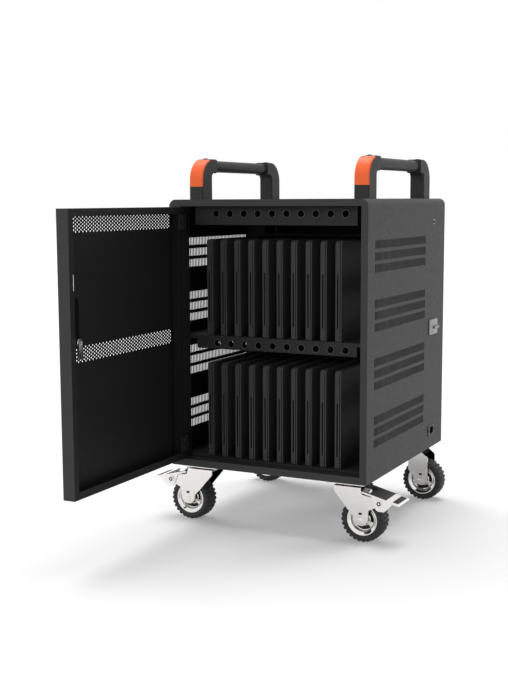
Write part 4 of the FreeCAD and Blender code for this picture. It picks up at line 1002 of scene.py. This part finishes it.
def rim_mesh(sizes, centre):
    """Plated wheel centre: a lipped conical ring, a web with long windows, raised spokes and a hub."""
    bm = bmesh.new()
    place = upright(centre)
    lathe(bm, both_ways(RIM_RING), 80, place)
    lathe(bm, both_ways(RIM_HUB), 40, place)
    pitch = 360 / sizes.spokes
    middle = (sizes.window_inner + sizes.window_outer) / 2
    half = pitch / 2 - math.degrees(sizes.spoke_width / middle) / 2
    windows = []
    for index in range(sizes.spokes):
        turn = FIRST_SPOKE + (index + 0.5) * pitch
        window = arc(0, 0, sizes.window_outer, turn - half, turn + half, 12)
        windows.append(window + arc(0, 0, sizes.window_inner, turn + half, turn - half, 12))
    bore = ring_points(0, 0, WEB_BORE, 32)
    web = sheet(ring_points(0, 0, WEB_OUTER, 72), windows + [bore], 2 * WEB_HALF)
    merged(bm, web, place @ Matrix.Translation((0, 0, -WEB_HALF)))
    for index in range(sizes.spokes):
        start = (SPOKE_START, -SPOKE_HALF, -SPOKE_RISE)
        spoke = block(start, (WEB_OUTER, SPOKE_HALF, SPOKE_RISE), SPOKE_EDGE)
        merged(bm, spoke, place @ Matrix.Rotation(math.radians(FIRST_SPOKE + index * pitch), 4, "Z"))
    return bm


# Section of the black disc that closes the rim's windows half way through, painted shade of the wheel's
# inside
RIM_SHADE_DISC = in_mm([(13.0, -1.0), (24.6, -1.0), (24.6, 1.0), (13.0, 1.0)])


def shade_disc_mesh(centre):
    """Black disc inside a rim, painted shade for the inside of the wheel."""
    bm = bmesh.new()
    lathe(bm, RIM_SHADE_DISC, 48, upright(centre))
    return bm


# Section of a hexagon head, as shares of its radius and its height
HEXAGON = [(0, 0), (1, 0), (1, 0.8), (0.86, 1), (0, 1)]


def hexagon_head(bm, place, radius, height):
    """Hexagon with its outer corners turned off."""
    lathe(bm, [(part * radius, rise * height) for part, rise in HEXAGON], 6, place, False)


# Axle bolt: sections of its washer and its thread's end, radius of its shank, and size of its hexagons
WASHER = in_mm([(0, 0), (8.4, 0), (8.4, 0.7), (8.0, 1.0), (0, 1.0)])
THREAD_END = in_mm([(0, 2.0), (4.4, 2.0), (4.4, 2.7), (4.0, 3.0), (0, 3.0)])
AXLE_SHANK = 5.98 * MM
AXLE_HEXAGON = mm(7.2, 1.5)


def axle_mesh(corner, centre):
    """Axle bolt: shank, washers, low hexagons and the thread's ends."""
    low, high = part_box(corner + "_axle")
    half = (high.y - low.y) / 2
    end = half - THREAD_END[-1][1]
    bm = bmesh.new()
    shank = [(0, -end), (AXLE_SHANK, -end), (AXLE_SHANK, end), (0, end)]
    lathe(bm, shank, 24, upright(centre), False)
    for sign in (-1, 1):
        place = along((0, sign, 0), (centre[0], centre[1] + sign * end, centre[2]))
        lathe(bm, WASHER, 32, place, False)
        hexagon_head(bm, place @ Matrix.Translation((0, 0, WASHER[-1][1])), *AXLE_HEXAGON)
        lathe(bm, THREAD_END, 20, place, False)
    return bm


class CABINET_OT_wheels(bpy.types.Operator):
    """Lugged tyres, plated rims, black discs of painted shade in the rims, and axle bolts of the casters"""

    bl_idname = "cabinet.wheels"
    bl_label = "Wheels"

    def execute(self, context):
        sizes = context.scene.cabinet_casters
        for corner in CORNERS:
            centre = JOINTS[corner + "_roll"]["pos_m"]
            for name, bm, material, body, replaced in (
                ("_lugged_tyre", tyre_mesh(sizes, centre), "tyre_compound", "_wheel", [corner + "_tyre"]),
                ("_plated_rim", rim_mesh(sizes, centre), "zinc_plating", "_wheel", [corner + "_rim"]),
                ("_rim_backing", shade_disc_mesh(centre), "black_plastic", "_wheel", []),
                ("_axle_bolt", axle_mesh(corner, centre), "zinc_plating", "_caster", [corner + "_axle"]),
            ):
                piece(corner + name, bm, material, corner + body, replaced)
        return {"FINISHED"}


def caster_place(corner):
    """Matrix from a caster's own frame, with its wheel towards +X, to its corner of the cabinet."""
    swivel = JOINTS[corner + "_swivel"]["pos_m"]
    turned = Matrix.Rotation(math.pi if corner.endswith("left") else 0.0, 4, "Z")
    return Matrix.Translation((swivel[0], swivel[1], 0.0)) @ turned


# Pressed ears low on the fork's legs, in the caster's own frame: middle, radius and height of the round end,
# height of the upper edge, middle and size of the hole, and thickness of the black sheet in it, painted shade
# of the hole, as a share of the ear's
EAR_MIDDLE, EAR_RADIUS, EAR_LOW = mm(35.0, 17.4, 58.0)
EAR_BEND = {"front": 70.0 * MM, "rear": 78.0 * MM}
EAR_HOLE = mm(35.0, 67.0, 8.0, 5.0)
HOLE_SHADE_SHARE = 0.3


class CABINET_OT_fork_ears(bpy.types.Operator):
    """Pressed ears on the legs of the forks, each with its small square hole, filled by a black sheet of
    painted shade
    """

    bl_idname = "cabinet.fork_ears"
    bl_label = "Fork ears"

    def execute(self, context):
        sizes = context.scene.cabinet_casters
        hole = centred(*EAR_HOLE)
        for corner in CORNERS:
            bend = EAR_BEND[row_of(corner)]
            outline = arc(EAR_MIDDLE, EAR_LOW, EAR_RADIUS, 180, 360, 16)
            outline += [(EAR_MIDDLE + EAR_RADIUS, bend), (EAR_MIDDLE - EAR_RADIUS, bend)]
            ears, hole_shades = bmesh.new(), bmesh.new()
            for sign in (-1, 1):
                for target, shape in (
                    (ears, sheet(outline, [hole], sizes.ear)),
                    (hole_shades, sheet(hole, [], HOLE_SHADE_SHARE * sizes.ear)),
                ):
                    for vert in shape.verts:
                        out = vert.co.z
                        vert.co = (vert.co.x, sign * (sizes.leg_face + out), vert.co.y)
                    merged(target, shape, caster_place(corner))
            piece(corner + "_fork_ears", ears, "zinc_plating", corner + "_caster")
            piece(corner + "_fork_holes", hole_shades, "black_plastic", corner + "_caster")
        return {"FINISHED"}


# Pads along the pedal's tread, from its inner edge: start, end, half width and thickness in millimetres. The
# black cover rows on the tread's inner part are painted shade of the cabinet; the grey pads are real.
PEDAL_SHADE_COVER = ((-3.0, 25.5, 31.6, 1.0), (-3.0, 1.2, 31.6, 4.0))
PEDAL_PADS = ((25.9, 57.4, 31.6, 1.0), (71.6, 84.5, 28.0, 1.0))
PAD_SINK, PAD_EDGE = mm(0.2, 0.4)
PEDAL_SLOPE = math.atan(0.25)


class CABINET_OT_pedal_pads(bpy.types.Operator):
    """Pads, a black cover of painted shade, and stop tabs on the brake pedals"""

    bl_idname = "cabinet.pedal_pads"
    bl_label = "Pedal pads"

    def execute(self, context):
        sizes = context.scene.cabinet_casters
        for corner in FRONT_CORNERS:
            near = 1 if corner.endswith("left") else -1
            place = caster_place(corner) @ Matrix.Translation((sizes.pedal_start, 0, sizes.pedal_top))
            place = place @ Matrix.Rotation(PEDAL_SLOPE, 4, "Y")
            for name, rows, material in (
                ("_pedal_cover", PEDAL_SHADE_COVER, "black_plastic"),
                ("_pedal_pads", PEDAL_PADS, "grey_plastic"),
            ):
                bm = bmesh.new()
                for start, end, half, thick in rows:
                    low = (start * MM, -half * MM, -PAD_SINK)
                    merged(bm, block(low, mm(end, half, thick), PAD_EDGE), place)
                piece(corner + name, bm, material, corner + "_pedal")
            outline = clipped(centred(0, 0, sizes.tab, sizes.tab_width), sizes.tab_corner)
            tab = sheet(outline, [ring_points(sizes.tab_hole_shift, 0, sizes.tab_hole, 16)], sizes.tab_metal)
            spot = Matrix.Translation((sizes.tab_start, near * sizes.tab_side, sizes.tab_lift))
            raised = bmesh.new()
            merged(raised, tab, place @ spot @ Matrix.Rotation(-near * sizes.tab_tilt, 4, "X"))
            piece(corner + "_pedal_tab", raised, "pedal_plating", corner + "_pedal")
        return {"FINISHED"}


# Black ring on the head of a pedal's pivot stud, painted shade of its recess: radii and thickness, and the
# head's height off the middle
PIVOT_SHADE_RING = in_mm([(2.2, -0.3), (4.6, -0.3), (4.6, 0.25), (2.2, 0.25)])
PIVOT_HEAD = 34.7 * MM


class CABINET_OT_pivot_rings(bpy.types.Operator):
    """Black rings of painted shade in the heads of the studs that the brake pedals turn on"""

    bl_idname = "cabinet.pivot_rings"
    bl_label = "Pivot rings"

    def execute(self, context):
        for corner in FRONT_CORNERS:
            x, y, z = JOINTS[corner + "_brake"]["pos_m"]
            bm = bmesh.new()
            for sign in (-1, 1):
                lathe(bm, PIVOT_SHADE_RING, 24, along((0, sign, 0), (x, y + sign * PIVOT_HEAD, z)))
            piece(corner + "_pivot_rings", bm, "black_plastic", corner + "_caster")
        return {"FINISHED"}


# Black sheet in the gap round a caster's raceway, painted shade of that gap: length, width, bore radius,
# thickness and gap under the plate
SWIVEL_GAP_SHADE = mm(59.0, 63.6, 29.1, 5.4, 0.2)
GAP_SHADE_CORNER = 3.0 * MM
# Top plate of a caster: its thickness, its turned-down rim, and the spacing and heads of its bolts
PLATE_METAL = 3.5 * MM
PLATE_SIZE = mm(95.0, 80.0)
PLATE_INSIDE = mm(91.6, 76.6)
PLATE_CORNER, PLATE_RIM = mm(6.0, 3.0)
BOLT_SPACING = mm(76.0, 62.0)
BOLT_HEAD = mm(7.0, 4.6)


class CABINET_OT_plate_bolts(bpy.types.Operator):
    """Bolts, black sheets of painted shade in the swivel gaps, and rims of the casters' top plates"""

    bl_idname = "cabinet.plate_bolts"
    bl_label = "Plate bolts"

    def execute(self, context):
        bolts, gap_shades = bmesh.new(), bmesh.new()
        rims = {"front": bmesh.new(), "rear": bmesh.new()}
        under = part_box("caster_plates")[1].z - PLATE_METAL
        long, wide, bore, thick, gap = SWIVEL_GAP_SHADE
        outside = rounded(centred(0, 0, *PLATE_SIZE), PLATE_CORNER)
        inside = rounded(centred(0, 0, *PLATE_INSIDE), PLATE_CORNER)
        for corner in CORNERS:
            x, y = JOINTS[corner + "_swivel"]["pos_m"][:2]
            for spot in centred(x, y, *BOLT_SPACING):
                hexagon_head(bolts, along((0, 0, -1), (*spot, under)), *BOLT_HEAD)
            outline = clipped(centred(0, 0, long, wide), GAP_SHADE_CORNER)
            gap_shade = sheet(outline, [ring_points(0, 0, bore, 48)], thick)
            merged(gap_shades, gap_shade, Matrix.Translation((x, y, under - gap - thick)))
            rim = sheet(outside, [inside], PLATE_RIM)
            merged(rims[row_of(corner)], rim, Matrix.Translation((x, y, under - PLATE_RIM)))
        piece("caster_plate_bolts", bolts, "zinc_plating", "cabinet")
        piece("caster_swivel_seals", gap_shades, "black_plastic", "cabinet")
        # Painted shade: the rear rims take the darker plating, the front ones the bright zinc
        piece("front_plate_rims", rims["front"], "zinc_plating", "cabinet")
        piece("rear_plate_rims", rims["rear"], "plate_plating", "cabinet")
        return {"FINISHED"}


# Small trim


# Section of a pan head, as shares of its radius
PAN_HEAD = [(0, 0), (1, 0), (1, 0.25), (0.8, 0.5), (0.45, 0.58), (0.3, 0.4), (0, 0.4)]


def pan_head(bm, spot, axis, radius):
    """Pan-head screw with a dished drive."""
    lathe(bm, [(part * radius, rise * radius) for part, rise in PAN_HEAD], 20, along(axis, spot), False)


class CABINET_OT_hinge_screws(bpy.types.Operator):
    """Screws that hold the hinge arms to both doors"""

    bl_idname = "cabinet.hinge_screws"
    bl_label = "Hinge screws"

    def execute(self, context):
        from_end, half_step, from_edge, radius = mm(18.0, 10.0, 8.0, 3.6)
        for door in ("door", "rear"):
            low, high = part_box(door + "_hinge_arms")
            bm = bmesh.new()
            for end in (low.z + from_end, high.z - from_end):
                for height in (end - half_step, end + half_step):
                    if door == "door":
                        pan_head(bm, (high.x, low.y + from_edge, height), (1, 0, 0), radius)
                    else:
                        pan_head(bm, (high.x - from_edge, low.y, height), (0, -1, 0), radius)
            body = "front_door" if door == "door" else "rear_door"
            # Painted shade: the screws take the darker inside coat
            piece(door + "_hinge_screws", bm, "inside_steel", body)
        return {"FINISHED"}


def cylinder(bm, radius, reach, place):
    """Closed cylinder from a point along a direction."""
    lathe(bm, [(0, 0), (radius, 0), (radius, reach), (0, reach)], 32, place, False)


# Corner radius of the wing, as a share of its width
WING_ROUND = 0.45


class CABINET_OT_side_lock(bpy.types.Operator):
    """Plate, barrel and wing knob of the side lock"""

    bl_idname = "cabinet.side_lock"
    bl_label = "Side lock"

    def execute(self, context):
        trim = context.scene.cabinet_trim
        axis = JOINTS["side_lock_turn"]["pos_m"]
        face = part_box("right_side_panel")[1].x
        low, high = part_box("side_lock_housing")
        outline = rounded(side_outline(low, high), trim.plate_corner)
        plate = pressed_plate(outline, trim.plate, trim.edge)
        facing_right(plate, face)
        depth = face - low.x
        inner_end = along((1, 0, 0), (low.x, *axis[1:]))
        bore = bmesh.new()
        cylinder(bore, trim.bore, 2 * depth, inner_end)
        bmesh.ops.recalc_face_normals(bore, faces=bore.faces[:])
        housing = carved(plate, bore)
        barrel = [(trim.bore, 0), (trim.barrel, 0), (trim.barrel, depth), (trim.bore, depth)]
        lathe(housing, barrel, 32, inner_end)
        piece("side_lock_plate", housing, "satin_metal", "cabinet", ["side_lock_housing"])
        shaft_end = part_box("side_lock_knob")[0].x
        outer = face + trim.plate + trim.play
        wing = centred(*axis[1:], trim.wing, trim.wing_width)
        knob = pressed_plate(rounded(wing, trim.wing_width * WING_ROUND), trim.wing_reach, trim.edge)
        facing_right(knob, outer)
        cylinder(knob, trim.shaft, outer - shaft_end, along((1, 0, 0), (shaft_end, *axis[1:])))
        piece("side_lock_wing", knob, "satin_metal", "side_lock", ["side_lock_knob"])
        return {"FINISHED"}


class CABINET_OT_inlet(bpy.types.Operator):
    """Flange, socket, contact blades, bezel and screws of the power inlet"""

    bl_idname = "cabinet.inlet"
    bl_label = "Power inlet"

    def execute(self, context):
        trim = context.scene.cabinet_trim
        low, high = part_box("power_inlet")
        middle = inlet_middle()
        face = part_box("right_side_panel")[1].x
        bottom = face - trim.mouth_depth
        front = face + trim.flange
        flange = rounded(side_outline(low, high), trim.flange_corner)
        body = centred(*middle, trim.socket, trim.socket_rise)
        mouth = clipped(centred(*middle, trim.mouth, trim.mouth_rise), trim.mouth_corner)
        socket = bmesh.new()
        for outline, holes, start, end in (
            (flange, [mouth], face, front),
            (body, [mouth], bottom, face),
            (body, [], low.x, bottom),
        ):
            merged(socket, side_sheet(outline, holes, start, end))
        piece("inlet_socket", socket, "black_plastic", "cabinet", ["power_inlet"])
        blades = bmesh.new()
        half, rise = trim.blade / 2, trim.blade_rise / 2
        root, tip = bottom - trim.blade, face - trim.blade_drop
        for place in (-1, 0, 1):
            y = middle[0] + place * trim.blade_step
            z = middle[1] + (trim.blade_lift if place == 0 else -trim.blade_lift)
            blade = block((root, y - half, z - rise), (tip, y + half, z + rise), trim.blade_edge)
            merged(blades, blade)
        piece("inlet_blades", blades, "satin_metal", "cabinet")
        inset = 2 * trim.bezel_inset
        outline = centred(*middle, high.y - low.y - inset, high.z - low.z - inset)
        outline = rounded(outline, trim.flange_corner - trim.bezel_inset)
        bezel = side_sheet(outline, [mouth], front, front + trim.bezel)
        piece("inlet_bezel", bezel, "bezel_plastic", "cabinet")
        screws = bmesh.new()
        for y in (low.y + trim.screw_margin, high.y - trim.screw_margin):
            pan_head(screws, (front + trim.bezel, y, middle[1]), (1, 0, 0), trim.screw)
        piece("inlet_screws", screws, "bezel_plastic", "cabinet")
        return {"FINISHED"}


# Rim of the security slot: what its outside and its window add to the slot's size, and their corner
SLOT_RIM = mm(8.0, 7.0, 2.0)
SLOT_WINDOW = mm(4.0, 3.0, 1.0)
SLOT_RIM_METAL = 0.7 * MM
# Strike strip: place from the door's edge, width, thickness, height of its lower end, length and edge
STRIKE = mm(11.8, 3.4, 0.8, 571.0, 32.0, 0.3)


class CABINET_OT_bright_trim(bpy.types.Operator):
    """Bright rim of the security slot and the strike strip of the door"""

    bl_idname = "cabinet.bright_trim"
    bl_label = "Bright trim"

    def execute(self, context):
        vents = context.scene.cabinet_vents
        middle = security_slot(vents)
        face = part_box("right_side_panel")[1].x
        outline, window = [
            clipped(centred(*middle, vents.slot_reach + along_y, vents.slot_rise + along_z), corner)
            for along_y, along_z, corner in (SLOT_RIM, SLOT_WINDOW)
        ]
        rim = side_sheet(outline, [window], face, face + SLOT_RIM_METAL)
        piece("security_slot_rim", rim, "satin_metal", "cabinet")
        low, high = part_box("front_door_panel")
        start, wide, thick, bottom, tall, edge = STRIKE
        corner = (high.x, low.y + start, bottom)
        strike = block(corner, (high.x + thick, low.y + start + wide, bottom + tall), edge)
        piece("door_strike_strip", strike, "zinc_plating", "front_door")
        return {"FINISHED"}


# Stage


# Where each light comes from, how wide it is in degrees, and whether reflections show it
LAMPS = {
    "top": ((-0.11, 0.20, 0.97), 50, True),
    "key": ((0.57, 0.81, 0.08), 30, False),
    "front": ((-0.12, -0.98, 0.10), 40, False),
    "left": ((-0.88, 0.35, 0.30), 40, True),
}
LAMP_DISTANCE = 3.0
FLOOR_REACH = 30.0


def seen_rays(tree):
    """One where a ray comes from the eye, a reflection or glass, and none for light."""
    path = new_node(tree, "LightPath")
    total = path.outputs["Is Camera Ray"]
    for ray in ("Is Glossy Ray", "Is Transmission Ray"):
        total = math_step(tree, "Math", "MAXIMUM", total, path.outputs[ray])
    return total


def sky(context, strength):
    """White to the eye and in reflections, softer as light."""
    world = bpy.data.worlds.new("studio")
    context.scene.world = world
    world.use_nodes = True
    tree = world.node_tree
    tree.nodes.clear()
    output = new_node(tree, "OutputWorld")
    mix = new_node(tree, "MixShader")
    tree.links.new(seen_rays(tree), mix.inputs["Fac"])
    for socket, level in ((1, strength), (2, 1.0)):
        light = new_node(tree, "Background", {"Color": (1, 1, 1, 1), "Strength": level})
        tree.links.new(light.outputs[0], mix.inputs[socket])
    tree.links.new(mix.outputs[0], output.inputs["Surface"])


def lamp(name, source, strength, width, glossy):
    """Even light from a direction, with soft shadows."""
    data = bpy.data.lights.new(name, "SUN")
    data.energy = strength
    data.angle = math.radians(width)
    made = added(name, data)
    made.rotation_euler = Vector(source).to_track_quat("Z", "Y").to_euler()
    made.location = Vector(source) * LAMP_DISTANCE
    made.visible_glossy = glossy


def studio_floor(settings):
    """Pale floor that lights the cabinet less than the eye sees of it."""
    bm = bmesh.new()
    bmesh.ops.create_grid(bm, x_segments=1, y_segments=1, size=FLOOR_REACH)
    mesh = mesh_of("floor", bm)
    floor = added("floor", mesh)
    tree, surface, _ = shader("studio_floor")
    seen = seen_rays(tree)
    mixed = colour_mix(tree, seen, (*settings.bounce, 1), (*settings.floor, 1))
    tree.links.new(mixed, surface.inputs["Base Color"])
    surface.inputs["Roughness"].default_value = 0.9
    surface.inputs["Specular IOR Level"].default_value = 0.0
    surface.inputs["Emission Color"].default_value = (*settings.glow, 1)
    tree.links.new(seen, surface.inputs["Emission Strength"])
    mesh.materials.append(finish("studio_floor"))


def studio_camera(context, settings):
    """Camera that sees the cabinet as the photo does."""
    data = bpy.data.cameras.new("camera")
    data.sensor_width = 36.0
    data.sensor_fit = "AUTO"
    data.lens = settings.lens
    data.clip_end = 100.0
    camera = added("camera", data)
    yaw, pitch, roll = settings.yaw, settings.pitch, settings.roll
    forward = Vector((-math.sin(yaw) * math.cos(pitch), math.cos(yaw) * math.cos(pitch), -math.sin(pitch)))
    right = Vector((math.cos(yaw), math.sin(yaw), 0.0))
    up = right.cross(forward)
    turned_right = math.cos(roll) * right + math.sin(roll) * up
    turned_up = math.cos(roll) * up - math.sin(roll) * right
    turn = Matrix((turned_right, turned_up, -forward)).transposed().to_4x4()
    camera.matrix_world = Matrix.Translation(Vector(settings.place)) @ turn
    context.scene.camera = camera


class CABINET_OT_stage(bpy.types.Operator):
    """Floor, light and camera"""

    bl_idname = "cabinet.stage"
    bl_label = "Stage"

    def execute(self, context):
        settings = context.scene.cabinet_stage
        context.scene.view_settings.view_transform = "Standard"
        studio_floor(settings)
        sky(context, settings.sky)
        for name, (source, width, glossy) in LAMPS.items():
            lamp(name, source, getattr(settings, name), width, glossy)
        studio_camera(context, settings)
        return {"FINISHED"}


STEPS = (
    CABINET_OT_finishes,
    CABINET_OT_side_panels,
    CABINET_OT_door_strips,
    CABINET_OT_dividers,
    CABINET_OT_port_rims,
    CABINET_OT_sockets,
    CABINET_OT_wheels,
    CABINET_OT_fork_ears,
    CABINET_OT_pedal_pads,
    CABINET_OT_pivot_rings,
    CABINET_OT_plate_bolts,
    CABINET_OT_hinge_screws,
    CABINET_OT_side_lock,
    CABINET_OT_inlet,
    CABINET_OT_bright_trim,
    CABINET_OT_stage,
)
SETTINGS = {
    "cabinet_finishes": CabinetFinishes,
    "cabinet_vents": CabinetVents,
    "cabinet_dividers": CabinetDividers,
    "cabinet_casters": CabinetCasters,
    "cabinet_trim": CabinetTrim,
    "cabinet_stage": CabinetStage,
}


class VIEW3D_PT_cabinet(bpy.types.Panel):
    """Sidebar panel with the cabinet's pieces"""

    bl_label = "Charging cabinet"
    bl_space_type = "VIEW_3D"
    bl_region_type = "UI"
    bl_category = "Cabinet"

    def draw(self, context):
        for step in STEPS:
            self.layout.operator(step.bl_idname)
        for group in SETTINGS:
            settings = getattr(context.scene, group)
            box = self.layout.box()
            for name in settings.__annotations__:
                box.prop(settings, name)


def register():
    """Register the settings, the operators and the panel."""
    for name, group in SETTINGS.items():
        bpy.utils.register_class(group)
        setattr(bpy.types.Scene, name, PointerProperty(type=group))
    for step in STEPS:
        bpy.utils.register_class(step)
    bpy.utils.register_class(VIEW3D_PT_cabinet)


def unregister():
    """Take back what was registered."""
    bpy.utils.unregister_class(VIEW3D_PT_cabinet)
    for step in reversed(STEPS):
        bpy.utils.unregister_class(step)
    for name, group in SETTINGS.items():
        delattr(bpy.types.Scene, name)
        bpy.utils.unregister_class(group)


def main():
    """Dress the cabinet and set the stage."""
    register()
    bpy.ops.cabinet.finishes()
    bpy.ops.cabinet.side_panels()
    bpy.ops.cabinet.door_strips()
    bpy.ops.cabinet.dividers()
    bpy.ops.cabinet.port_rims()
    bpy.ops.cabinet.sockets()
    bpy.ops.cabinet.wheels()
    bpy.ops.cabinet.fork_ears()
    bpy.ops.cabinet.pedal_pads()
    bpy.ops.cabinet.pivot_rings()
    bpy.ops.cabinet.plate_bolts()
    bpy.ops.cabinet.hinge_screws()
    bpy.ops.cabinet.side_lock()
    bpy.ops.cabinet.inlet()
    bpy.ops.cabinet.bright_trim()
    bpy.ops.cabinet.stage()


if __name__ == "__main__":
    main()
